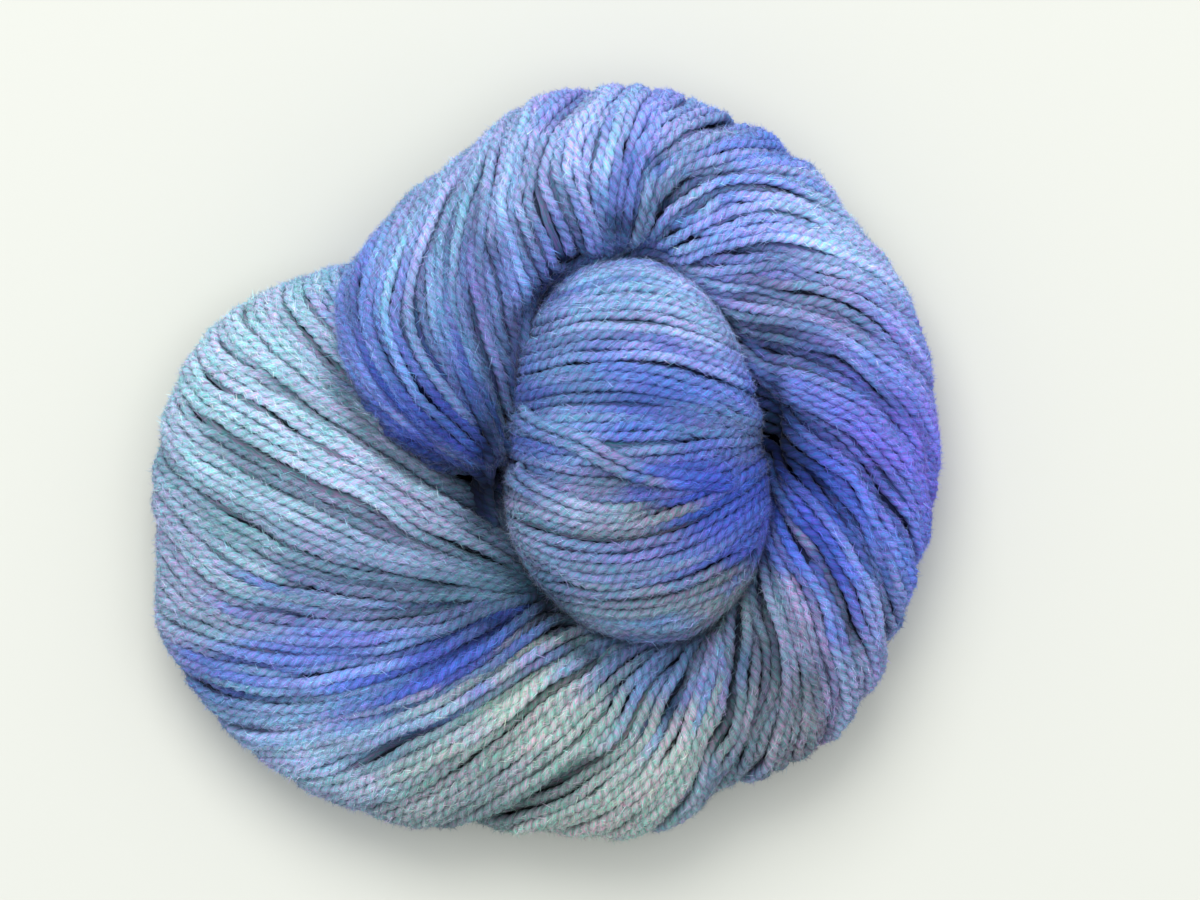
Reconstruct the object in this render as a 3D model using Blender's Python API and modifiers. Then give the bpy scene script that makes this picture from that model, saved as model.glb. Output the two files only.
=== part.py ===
"""A skein of hand-dyed two-ply yarn. The hank is twisted into one thick bundle, coiled round like a snail shell, and its
looped end is pushed up through the middle as an oval bun. Metres, +Z up, lying flat on z = 0.

It is one solid of the wound form and its main twists. The single strands are finer than this model.
"""

import bmesh
import bpy
import numpy as np

MM = 0.001

# Driving sizes, in millimetres.
STRAND = 2.06  # one strand of the yarn and the gap beside it
BUNCH = 3.6 * STRAND  # strands lie in bunches about this wide, with a groove between
BUNCH_DEPTH = 1.9  # how deep the groove between two bunches is
WIDEST_AT = 0.46  # a section is widest at this share of its height
TUCK = 5.5  # how far the coil reaches in under the bun, past the crease between them
TOP_ROUND, UNDER_ROUND = 2.1, 2.25  # superellipse powers of a section's upper and lower half
BUN_TOP, BUN_WIDEST, BUN_LOW, BUN_ROUND = 47.5, 25.0, -1.0, 2.25
HALF_ADVANCE = 22.0  # degrees that a strand turns on round the coil while it goes a quarter way round the bundle

# The coil's sections, one row each. turn: degrees clockwise round the bun, from the coil's inner tip at the left. inner:
# radius of its crease with the bun. outer: outer radius. under, top: lowest and highest point. lean: how far the
# crown is pushed outwards, as a share.
SECTION_COLUMNS = ("turn", "inner", "outer", "under", "top", "lean")
SECTIONS = (
    (-6, 27.0, 28.2, 20.0, 31.0, 0.0),
    (0, 27.0, 31.5, 17.0, 34.0, 0.0),
    (15, 25.4, 44.4, 17.0, 41.0, 0.0),
    (30, 25.8, 56.8, 18.0, 44.5, 0.1),
    (45, 27.6, 64.1, 15.0, 45.0, 0.1),
    (60, 30.6, 64.5, 4.0, 43.5, 0.1),
    (75, 34.3, 65.4, -0.7, 41.0, 0.0),
    (90, 36.2, 69.4, -0.7, 39.0, 0.0),
    (105, 36.2, 68.8, -0.7, 37.5, 0.0),
    (120, 34.1, 66.2, -0.7, 36.0, 0.0),
    (135, 30.6, 63.6, -0.7, 35.0, 0.0),
    (150, 27.6, 60.0, -0.7, 34.5, 0.0),
    (165, 25.7, 59.3, -0.7, 34.5, 0.0),
    (180, 24.8, 57.9, -0.7, 34.5, 0.0),
    (195, 24.9, 57.6, -0.7, 34.5, 0.0),
    (210, 25.9, 57.7, -0.7, 34.5, 0.0),
    (225, 28.7, 59.6, -0.7, 34.5, 0.0),
    (240, 31.7, 63.9, -0.7, 34.5, 0.0),
    (255, 34.7, 66.4, -0.7, 34.5, 0.0),
    (270, 36.9, 66.9, -0.7, 35.0, 0.0),
    (285, 36.4, 72.6, -0.7, 35.5, 0.0),
    (300, 34.9, 75.9, -0.7, 36.0, -0.1),
    (315, 32.6, 82.5, -0.7, 36.0, -0.15),
    (330, 30.6, 90.0, -0.7, 35.5, -0.2),
    (345, 28.3, 94.3, -0.7, 35.0, -0.2),
    (360, 26.4, 93.8, -0.7, 34.5, -0.2),
    (375, 25.3, 90.9, -0.7, 32.0, 0.0),
    (390, 25.7, 82.5, -0.7, 28.5, 0.1),
    (405, 27.6, 67.7, -0.7, 24.0, 0.1),
    (414, 29.0, 58.0, 1.0, 19.0, 0.0),
    (419, 34.0, 50.0, 5.0, 14.0, 0.0),
)

# The way that the strands run over the top, one row for each strand: its turn at the crease with the bun, at the
# middle of the bundle and at the outer edge.
FLOW_COLUMNS = ("at_crease", "at_middle", "at_edge")
FLOW = (
    (-10, -6, 5),
    (-8, 2, 30),
    (-6, 9, 56),
    (4, 40, 78),
    (30, 58, 83),
    (57, 70, 87),
    (75, 79.5, 95),
    (89.5, 90.5, 101),
    (94.5, 97.3, 106),
    (99, 103, 114),
    (101.5, 108.5, 126),
    (104, 114, 139),
    (106.5, 121, 151),
    (112, 134, 166),
    (118, 148, 181),
    (132, 162, 193),
    (148, 175, 205),
    (163, 193, 216),
    (191, 214, 231),
    (225, 240, 253),
    (244, 258, 275),
    (261, 277, 297),
    (281, 304, 321),
    (296, 319, 335),
    (307, 326, 343),
    (314, 333, 352),
    (314.8, 343, 365),
    (316, 357, 377),
    (338, 378, 391),
    (358, 391, 402),
    (370, 404, 411),
    (385, 416, 424),
)

# The large folds between groups of bunches. strand: row of FLOW that it follows. wide, deep: its size. start, end: the
# share of the way from the crease to the outer edge that it covers.
FOLD_COLUMNS = ("strand", "wide", "deep", "start", "end")
FOLDS = (
    (4.7, 3.0, 1.6, 0.10, 0.75),
    (7.0, 3.5, 1.5, 0.00, 0.45),
    (11.2, 5.0, 4.2, 0.00, 0.80),
    (13.3, 3.0, 1.6, 0.05, 0.55),
    (15.9, 4.0, 2.8, 0.05, 0.85),
    (17.0, 4.0, 2.6, 0.00, 0.80),
    (18.9, 3.5, 2.0, 0.00, 0.50),
    (21.4, 3.5, 2.4, 0.50, 0.95),
    (23.4, 3.0, 1.4, 0.10, 0.70),
    (26.0, 5.0, 3.6, 0.00, 0.75),
    (27.4, 3.5, 1.6, 0.10, 0.90),
)

# The strands over the bun, from its top edge in plan to its bottom edge: where each one starts at the left, its middle
# and where it ends at the right, from the bun's centre.
BUN_FLOW_COLUMNS = ("left_x", "left_y", "middle_x", "middle_y", "right_x", "right_y")
BUN_FLOW = (
    (-14.4, 32.1, -2.3, 36.0, 12.8, 31.0),
    (-19.1, 25.3, -3.2, 29.1, 17.4, 23.4),
    (-23.4, 17.3, -3.2, 20.3, 22.5, 14.1),
    (-24.2, 10.3, 0.6, 12.2, 23.1, 6.6),
    (-24.8, 3.8, 0.6, 4.1, 22.5, 3.2),
    (-24.9, -1.9, 0.6, -5.3, 23.1, 0.4),
    (-25.1, -9.4, -0.4, -13.5, 24.2, -3.8),
    (-21.9, -20.6, 0.6, -24.0, 24.6, -12.2),
    (-13.5, -30.9, 3.4, -32.8, 20.3, -25.9),
)

STATIONS, AROUND = 300, 72
BUN_SEGMENTS, BUN_RINGS = 96, 48
VOXEL = 0.9  # the remesh that joins the coil and the bun
KEEP = 0.0613  # share of the remeshed faces that the plain solid keeps
FLOOR_CUT = 8.0  # depth of the cutter under the floor


def column(rows, columns, name):
    return np.array([row[columns.index(name)] for row in rows], float)


def smooth(at, known_at, known):
    """A monotone cubic through the rows of a table, held at its ends."""
    at = np.asarray(at, float)
    step = np.diff(known_at)
    slope = np.diff(known) / step
    tangent = np.zeros(len(known_at))
    before, after = slope[:-1], slope[1:]
    same = before * after > 0
    first, second = 2 * step[1:] + step[:-1], step[1:] + 2 * step[:-1]
    tangent[1:-1][same] = (first + second)[same] / (
        first[same] / before[same] + second[same] / after[same]
    )
    tangent[0], tangent[-1] = slope[0], slope[-1]
    i = np.clip(np.searchsorted(known_at, at) - 1, 0, len(step) - 1)
    t = np.clip((at - known_at[i]) / step[i], 0, 1)
    return (
        known[i] * (1 + 2 * t) * (1 - t) ** 2
        + tangent[i] * step[i] * t * (1 - t) ** 2
        + known[i + 1] * t * t * (3 - 2 * t)
        + tangent[i + 1] * step[i] * t * t * (t - 1)
    )


def section(turn, name):
    return smooth(
        turn,
        column(SECTIONS, SECTION_COLUMNS, "turn"),
        column(SECTIONS, SECTION_COLUMNS, name),
    )


def ease(value, low, high):
    t = np.clip((value - low) / (high - low), 0, 1)
    return t * t * (3 - 2 * t)


def reach(turn):
    """Innermost radius, outermost radius and crease radius of the coil."""
    crease, outer = section(turn, "inner"), section(turn, "outer")
    return crease - np.minimum(TUCK, 0.3 * (outer - crease)), outer, crease


def section_point(turn, angle):
    """Radius and height on the coil. angle goes from 0 at the bundle's inner side over its top to pi outside, and on under it."""
    inner, outer, _ = reach(turn)
    under, top = section(turn, "under"), section(turn, "top")
    widest = under + WIDEST_AT * (top - under)
    across, up = -np.cos(angle), np.sin(angle)
    power = np.where(up >= 0, TOP_ROUND, UNDER_ROUND)
    across = np.sign(across) * np.abs(across) ** (2 / power)
    rise = np.abs(up) ** (2 / power)
    rise = np.where(up >= 0, rise * (1 + section(turn, "lean") * across), rise)
    radius = (inner + outer) / 2 + (outer - inner) / 2 * across
    height = widest + np.where(up >= 0, (top - widest) * rise, -(widest - under) * rise)
    return radius, height


def flow_turn(strand, share):
    """Turn of a strand at a share of the way from the crease to the outer edge. Past either edge it goes on round the bundle."""
    rows = np.arange(len(FLOW))
    crease, middle, edge = (
        smooth(strand, rows, column(FLOW, FLOW_COLUMNS, name))
        for name in FLOW_COLUMNS
    )
    return [
        smooth(share, np.array([0, 0.5, 1.0]), np.array(three))
        for three in zip(crease, middle, edge)
    ]


def strand_fields(angles):
    """For each angle round a section: the turn of every sampled strand there, and its bunch number and row of FLOW."""
    strands = np.linspace(0, len(FLOW) - 1, 12 * len(FLOW))
    shares, turns = np.linspace(0, 1, 41), []
    for line in flow_turn(strands, shares):
        turns.append(line)
    turns = np.array(turns)
    # Bunches are counted along the coil, by the distance between neighbouring strands at mid width.
    middle = np.radians(turns[:, 20])
    inner, outer, crease = reach(turns[:, 20])
    radius = (crease + outer) / 2
    run = (np.radians(turns[:, 28]) - np.radians(turns[:, 12])) * radius
    lean = np.arctan2((outer - crease) * 0.4, np.maximum(run, 1e-6))
    gap = np.gradient(middle) * radius * np.sin(lean)
    count = np.cumsum(gap) / BUNCH
    count = count + 0.32 * np.sin(1.9 * count) + 0.17 * np.sin(4.3 * count + 1.0)
    at = []
    for angle in angles:
        across = -np.cos(angle)
        if np.sin(angle) >= -1e-9 and across > -0.7:
            share = np.clip((across + 0.7) / 1.7, 0, 1)
            at.append([np.interp(share, shares, line) for line in turns])
        elif across > 0:
            past = angle - np.pi
            at.append(turns[:, -1] + HALF_ADVANCE * past / (np.pi / 2))
        else:
            back = (angle - 2 * np.pi if angle > np.pi else angle) - np.arccos(0.7)
            at.append(turns[:, 0] + HALF_ADVANCE * back / (np.pi / 2))
    return strands, count, np.array(at)


def groove(count):
    """0 at a bunch's crest and 1 in the groove beside it."""
    across = 2 * (count - np.floor(count)) - 1
    return 1 - np.sqrt(np.clip(1 - 0.98 * across**2, 0, 1))


def coil_mesh(name):
    turns = np.linspace(SECTIONS[0][0], SECTIONS[-1][0], STATIONS)
    angles = np.arange(AROUND) * 2 * np.pi / AROUND
    strands, counts, fields = strand_fields(angles)
    widths = [column(FOLDS, FOLD_COLUMNS, key) for key in FOLD_COLUMNS]
    middle_radius, middle_height = section_point(turns, np.pi / 2)
    under = section(turns, "under")
    centre = np.stack([middle_radius, (middle_height + under) / 2], axis=1)
    grid = np.zeros((STATIONS, AROUND, 3))
    for j, angle in enumerate(angles):
        radius, height = section_point(turns, np.full(STATIONS, angle))
        count = np.interp(turns, fields[j], counts)
        strand = np.interp(turns, fields[j], strands)
        share = np.clip((-np.cos(angle) + 0.7) / 1.7, 0, 1)
        down = BUNCH_DEPTH * groove(count) * ease(np.sin(angle), -0.75, 0.1)
        for row, wide, deep, start, end in zip(*widths):
            off = np.abs(count - np.interp(row, strands, counts)) * BUNCH / wide
            along = ease(share, start - 0.12, start + 0.06) * (
                1 - ease(share, end - 0.15, end + 0.05)
            )
            down += deep * np.exp(-((off * 1.3) ** 2)) * along * (np.sin(angle) > 0)
        # The tip and the tail are smooth, where the strands go down out of sight.
        down *= ease(turns, -4, 14) * (1 - ease(turns, 400, 412))
        out = np.stack([radius, height], axis=1) - centre
        size = np.linalg.norm(out, axis=1, keepdims=True)
        moved = centre + out * (1 - down[:, None] / np.maximum(size, 4.0))
        bearing = np.radians(195 - turns)
        grid[:, j] = np.stack(
            [moved[:, 0] * np.cos(bearing), moved[:, 0] * np.sin(bearing), moved[:, 1]],
            axis=1,
        )
    points = grid.reshape(-1, 3) * MM
    faces = []
    for i in range(STATIONS - 1):
        for j in range(AROUND):
            k = (j + 1) % AROUND
            faces.append(
                (
                    i * AROUND + j,
                    i * AROUND + k,
                    (i + 1) * AROUND + k,
                    (i + 1) * AROUND + j,
                )
            )
    faces.append(tuple(range(AROUND))[::-1])
    faces.append(tuple((STATIONS - 1) * AROUND + j for j in range(AROUND)))
    mesh = bpy.data.meshes.new(name)
    mesh.from_pydata(points.tolist(), [], faces)
    return mesh


def bun_groove(x, y):
    """The groove between the bun's bunches at a point in plan."""
    left_x, left_y, middle_x, middle_y, right_x, right_y = (
        column(BUN_FLOW, BUN_FLOW_COLUMNS, key) for key in BUN_FLOW_COLUMNS
    )
    at = np.clip(x, left_x, right_x)
    heights = (
        left_y * (at - middle_x) * (at - right_x) / ((left_x - middle_x) * (left_x - right_x))
        + middle_y * (at - left_x) * (at - right_x) / ((middle_x - left_x) * (middle_x - right_x))
        + right_y * (at - left_x) * (at - middle_x) / ((right_x - left_x) * (right_x - middle_x))
    )
    order = np.argsort(heights)
    count = np.interp(y, heights[order], (middle_y / BUNCH)[order])
    return groove(count + 0.25 * np.sin(2.3 * count) + 0.2)


def bun_mesh(name):
    """A sphere drawn out to the bun's outline, with its bunches."""
    bm = bmesh.new()
    bmesh.ops.create_uvsphere(
        bm, u_segments=BUN_SEGMENTS, v_segments=BUN_RINGS, radius=1
    )
    for vertex in bm.verts:
        x, y, z = vertex.co
        flat = float(np.hypot(x, y))
        bearing = float(np.degrees(np.arctan2(y, x)))
        turn = (195 - bearing) % 360
        turn = turn + 360 if turn < 15 else turn
        rim = float(reach(np.array([turn]))[2][0]) - 0.2
        flat, rise = flat ** (2 / BUN_ROUND), abs(z) ** (2 / BUN_ROUND)
        if z >= 0:
            height = BUN_WIDEST + (BUN_TOP - BUN_WIDEST) * rise
        else:
            height = BUN_WIDEST - (BUN_WIDEST - BUN_LOW) * rise
        radius = rim * flat
        px = radius * np.cos(np.radians(bearing))
        py = radius * np.sin(np.radians(bearing))
        down = BUNCH_DEPTH * bun_groove(px, py) * ease(z, -0.1, 0.2)
        scale = 1 - down / 24.0
        vertex.co = (
            px * scale * MM,
            py * scale * MM,
            (BUN_WIDEST + (height - BUN_WIDEST) * scale) * MM,
        )
    mesh = bpy.data.meshes.new(name)
    bm.to_mesh(mesh)
    bm.free()
    return mesh


def wool(name, colour):
    material = bpy.data.materials.new(name)
    material.use_nodes = True
    shader = material.node_tree.nodes["Principled BSDF"]
    shader.inputs["Base Color"].default_value = (*colour, 1)
    shader.inputs["Roughness"].default_value = 0.9
    shader.inputs["Metallic"].default_value = 0
    material.diffuse_color = (*colour, 1)
    return material


def main():
    for obj in list(bpy.data.objects):
        bpy.data.objects.remove(obj, do_unlink=True)
    skein_of_yarn = bpy.data.collections.new("skein_of_yarn")
    cutters = bpy.data.collections.new("cutters")
    bpy.context.scene.collection.children.link(skein_of_yarn)
    bpy.context.scene.collection.children.link(cutters)

    # The coil and the bun as one mesh of two closed shells, which the remesh makes one body.
    bm = bmesh.new()
    for shell in (coil_mesh("coil"), bun_mesh("bun")):
        bm.from_mesh(shell)
        bpy.data.meshes.remove(shell)
    bmesh.ops.recalc_face_normals(bm, faces=bm.faces)
    mesh = bpy.data.meshes.new("skein")
    bm.to_mesh(mesh)
    bm.free()
    skein = bpy.data.objects.new("skein", mesh)
    skein_of_yarn.objects.link(skein)
    mesh.materials.append(wool("dyed_wool", (0.17, 0.24, 0.52)))

    remesh = skein.modifiers.new("one_body", "REMESH")
    remesh.mode = "VOXEL"
    remesh.voxel_size = VOXEL * MM
    remesh.adaptivity = 0
    fewer = skein.modifiers.new("fewer_faces", "DECIMATE")
    fewer.ratio = KEEP

    # The flat spot that the skein lies on.
    bm = bmesh.new()
    bmesh.ops.create_cube(bm, size=1)
    bmesh.ops.scale(bm, vec=(300 * MM, 300 * MM, FLOOR_CUT * MM), verts=bm.verts)
    bmesh.ops.translate(bm, vec=(0, 0, -FLOOR_CUT / 2 * MM), verts=bm.verts)
    floor_mesh = bpy.data.meshes.new("floor_cut")
    bm.to_mesh(floor_mesh)
    bm.free()
    floor_cut = bpy.data.objects.new("floor_cut", floor_mesh)
    cutters.objects.link(floor_cut)
    floor_cut.hide_render = True
    floor_cut.display_type = "WIRE"
    flat = skein.modifiers.new("flat_spot", "BOOLEAN")
    flat.operation = "DIFFERENCE"
    flat.solver = "EXACT"
    flat.object = floor_cut

    # The origin is under the middle of the skein's box.
    bpy.context.view_layer.update()
    shape = skein.evaluated_get(bpy.context.evaluated_depsgraph_get()).to_mesh()
    points = np.empty(len(shape.vertices) * 3)
    shape.vertices.foreach_get("co", points)
    points = points.reshape(-1, 3)
    low, high = points.min(axis=0), points.max(axis=0)
    skein.location = (-(low[0] + high[0]) / 2, -(low[1] + high[1]) / 2, 0)
    bpy.context.view_layer.update()
    print("shift", [round(1000 * v, 3) for v in skein.location], "size", np.round(1000 * (high - low), 2))


main()
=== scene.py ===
import math

import bpy
import numpy as np
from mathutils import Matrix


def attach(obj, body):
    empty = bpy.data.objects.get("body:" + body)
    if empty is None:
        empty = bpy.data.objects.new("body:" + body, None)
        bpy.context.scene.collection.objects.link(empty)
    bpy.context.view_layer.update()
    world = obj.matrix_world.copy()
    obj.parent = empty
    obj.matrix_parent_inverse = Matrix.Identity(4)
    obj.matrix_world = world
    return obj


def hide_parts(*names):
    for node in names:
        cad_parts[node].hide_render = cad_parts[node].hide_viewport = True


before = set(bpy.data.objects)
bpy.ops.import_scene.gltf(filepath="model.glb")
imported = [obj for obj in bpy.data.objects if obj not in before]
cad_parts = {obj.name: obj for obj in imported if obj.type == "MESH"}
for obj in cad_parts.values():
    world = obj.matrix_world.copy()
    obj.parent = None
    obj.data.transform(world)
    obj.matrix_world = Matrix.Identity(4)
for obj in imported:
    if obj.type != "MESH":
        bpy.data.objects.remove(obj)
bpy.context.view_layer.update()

MM = 0.001
CENTRE = np.array([17.234, 2.385, 0.0])  # the bun's centre in the frame

# The yarn.
PITCH = 2.06  # one strand and the gap beside it
STRAND_RADIUS = 1.15  # to the crest of a ply
PLY_TURN = 4.8  # length of one turn of the two plies
PLY_ROUND = 0.12  # how far the two plies stand out, as a share of the radius
SIDES = 8

# The wound form.
WIDEST_AT = 0.46
TUCK = 5.5
CLOSE = 1.6  # how far the strands of the coil reach in under the bun's edge
TOP_ROUND, UNDER_ROUND = 2.1, 2.25
BUN_TOP, BUN_WIDEST, BUN_LOW, BUN_ROUND = 47.5, 28.0, -1.0, 2.3
SECTION_COLUMNS = ("turn", "inner", "outer", "under", "top", "lean")
SECTIONS = (
    (-6, 27.0, 28.2, 20.0, 31.0, 0.0),
    (0, 27.0, 31.5, 17.0, 34.0, 0.0),
    (15, 25.4, 44.4, 17.0, 41.0, 0.0),
    (30, 25.8, 56.8, 18.0, 44.5, 0.1),
    (45, 27.6, 64.1, 15.0, 45.0, 0.1),
    (60, 30.0, 64.5, 4.0, 43.5, 0.1),
    (75, 33.5, 65.4, -0.7, 41.0, 0.0),
    (90, 36.2, 69.4, -0.7, 39.0, 0.0),
    (105, 36.2, 68.8, -0.7, 37.5, 0.0),
    (120, 34.1, 66.2, -0.7, 36.0, 0.0),
    (135, 30.6, 63.6, -0.7, 35.0, 0.0),
    (150, 27.6, 60.0, -0.7, 34.5, 0.0),
    (165, 25.7, 59.3, -0.7, 34.5, 0.0),
    (180, 24.8, 57.9, -0.7, 34.5, 0.0),
    (195, 24.9, 57.6, -0.7, 34.5, 0.0),
    (210, 25.9, 57.7, -0.7, 34.5, 0.0),
    (225, 28.7, 59.6, -0.7, 34.5, 0.0),
    (240, 31.7, 63.9, -0.7, 34.5, 0.0),
    (255, 34.7, 66.8, -0.7, 34.5, 0.0),
    (263, 36.0, 66.6, -0.7, 34.8, 0.0),
    (270, 36.9, 66.4, -0.7, 35.0, 0.0),
    (276, 36.8, 70.4, -0.7, 35.2, 0.0),
    (285, 36.4, 73.2, -0.7, 35.5, 0.0),
    (300, 34.9, 75.0, -0.7, 36.0, -0.1),
    (315, 32.6, 82.5, -0.7, 36.0, -0.15),
    (330, 30.6, 90.0, -0.7, 35.5, -0.2),
    (345, 28.3, 95.3, -0.7, 35.0, -0.2),
    (355, 27.0, 96.4, -0.7, 34.7, -0.2),
    (363, 26.1, 92.8, -0.7, 34.2, -0.18),
    (375, 25.3, 90.9, -0.7, 32.0, 0.0),
    (390, 25.7, 84.6, -0.7, 28.5, 0.1),
    (405, 27.6, 68.6, -0.7, 24.0, 0.1),
    (414, 29.0, 58.0, 1.0, 19.0, 0.0),
    (419, 34.0, 50.0, 5.0, 14.0, 0.0),
)
FLOW = (
    (-3, 0, 7),
    (-2, 5, 30),
    (-0.5, 12, 56),
    (6, 40, 78),
    (30, 58, 83),
    (57, 70, 87),
    (75, 79.5, 95),
    (89.5, 90.5, 101),
    (94.5, 97.3, 106),
    (99, 103, 114),
    (101.5, 108.5, 126),
    (104, 114, 139),
    (106.5, 121, 151),
    (112, 134, 166),
    (118, 148, 181),
    (132, 162, 193),
    (148, 175, 205),
    (163, 193, 216),
    (191, 214, 231),
    (225, 240, 253),
    (244, 258, 275),
    (261, 277, 297),
    (281, 304, 321),
    (296, 319, 335),
    (307, 326, 343),
    (314, 333, 352),
    (314.8, 343, 365),
    (316, 357, 377),
    (338, 378, 391),
    (358, 391, 402),
    (370, 404, 411),
    (385, 416, 424),
)
FOLD_COLUMNS = ("strand", "wide", "deep", "start", "end")
FOLDS = (
    (1.6, 3.0, 1.4, 0.10, 0.80),
    (3.75, 2.5, 1.5, 0.50, 0.95),
    (4.7, 3.0, 1.8, 0.10, 0.75),
    (5.8, 2.2, 1.3, 0.15, 0.85),
    (7.0, 3.2, 2.0, 0.00, 0.55),
    (8.8, 2.4, 1.5, 0.10, 0.80),
    (11.2, 4.6, 4.2, 0.00, 0.80),
    (12.0, 2.6, 1.7, 0.15, 0.95),
    (13.3, 3.0, 2.2, 0.05, 0.60),
    (14.6, 2.4, 1.6, 0.10, 0.80),
    (15.9, 4.0, 3.2, 0.05, 0.85),
    (17.2, 4.0, 2.4, 0.00, 0.85),
    (17.9, 2.4, 1.6, 0.20, 0.95),
    (18.55, 2.6, 2.0, 0.30, 0.90),
    (19.75, 2.6, 2.2, 0.00, 0.60),
    (19.9, 2.6, 2.2, 0.30, 1.00),
    (20.35, 3.0, 2.6, 0.05, 0.80),
    (21.15, 3.0, 3.2, 0.20, 0.50),
    (21.46, 4.0, 3.0, 0.62, 1.15),
    (22.3, 2.4, 1.8, 0.05, 0.60),
    (22.9, 2.6, 2.2, 0.25, 0.90),
    (23.6, 2.6, 2.0, 0.05, 0.75),
    (25.25, 2.4, 1.7, 0.30, 0.95),
    (26.15, 5.0, 1.8, 0.00, 0.50),
    (26.7, 2.4, 1.7, 0.20, 0.95),
    (27.4, 3.0, 2.0, 0.10, 0.90),
    (28.1, 2.4, 1.6, 0.10, 0.85),
    (28.8, 2.4, 1.4, 0.20, 0.90),
)
BUN_FLOW_COLUMNS = ("left_x", "left_y", "middle_x", "middle_y", "right_x", "right_y")
BUN_FLOW = (
    (-14.4, 32.1, -2.3, 36.0, 12.8, 31.0),
    (-19.1, 25.3, -3.2, 29.1, 17.4, 23.4),
    (-23.4, 17.3, -3.2, 20.3, 22.5, 14.1),
    (-24.2, 10.3, 0.6, 12.2, 23.1, 6.6),
    (-24.8, 3.8, 0.6, 4.1, 22.5, 3.2),
    (-24.9, -1.9, 0.6, -5.3, 23.1, 0.4),
    (-25.1, -9.4, -0.4, -13.5, 24.2, -3.8),
    (-21.9, -20.6, 0.6, -24.0, 24.6, -12.2),
    (-13.5, -30.9, 3.4, -32.8, 20.3, -25.9),
    (-11.6, -32.6, 3.4, -36.0, 17.3, -29.6),
)

# Places where the strands dive into a deep hollow. turn and share of the way across for its middle, then its size along
# and across, and its depth.
HOLLOW_COLUMNS = ("turn", "share", "along", "across", "deep")
HOLLOWS = (
    (-8.0, 0.0, 5.0, 3.0, 0.8),
    (72.0, 0.0, 7.0, 3.0, 2.0),
    (105.0, 0.0, 6.0, 3.0, 2.6),
    (187.0, 0.0, 6.0, 2.4, 4.0),
    (313.0, 0.0, 5.0, 2.6, 1.0),
)

# Strands that cross over the bun: the path in plan, and how far to its side each strand lies.
CROSSINGS = (
    (((-25.1, 9.4), (-20.1, 4.7), (-10.7, 1.3), (-6.9, -0.9), (0.6, -4.1), (9.9, -5.6), (17.4, -6.2), (22.0, -6.4)), (-1.0, 0.95)),
    (((-24.8, -2.8), (-21.9, -6.2), (-17.2, -8.8), (-11.6, -10.9), (-5.0, -11.9), (2.0, -11.6)), (-0.9, 0.9)),
)
# Strands round the foot of the bun: how low, and from which bearing to which.
SKIRTS = (
    (-2.2, -150, -28),
    (-0.2, -158, -20),
    (2.0, -165, -14),
    (-2.0, 50, 130),
    (0.2, 44, 136),
    (-4.4, -112, -38),
    (-6.4, -106, -44),
)

CREASE_DEPTH = 0.3  # how much deeper the crease round the bun is

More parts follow.
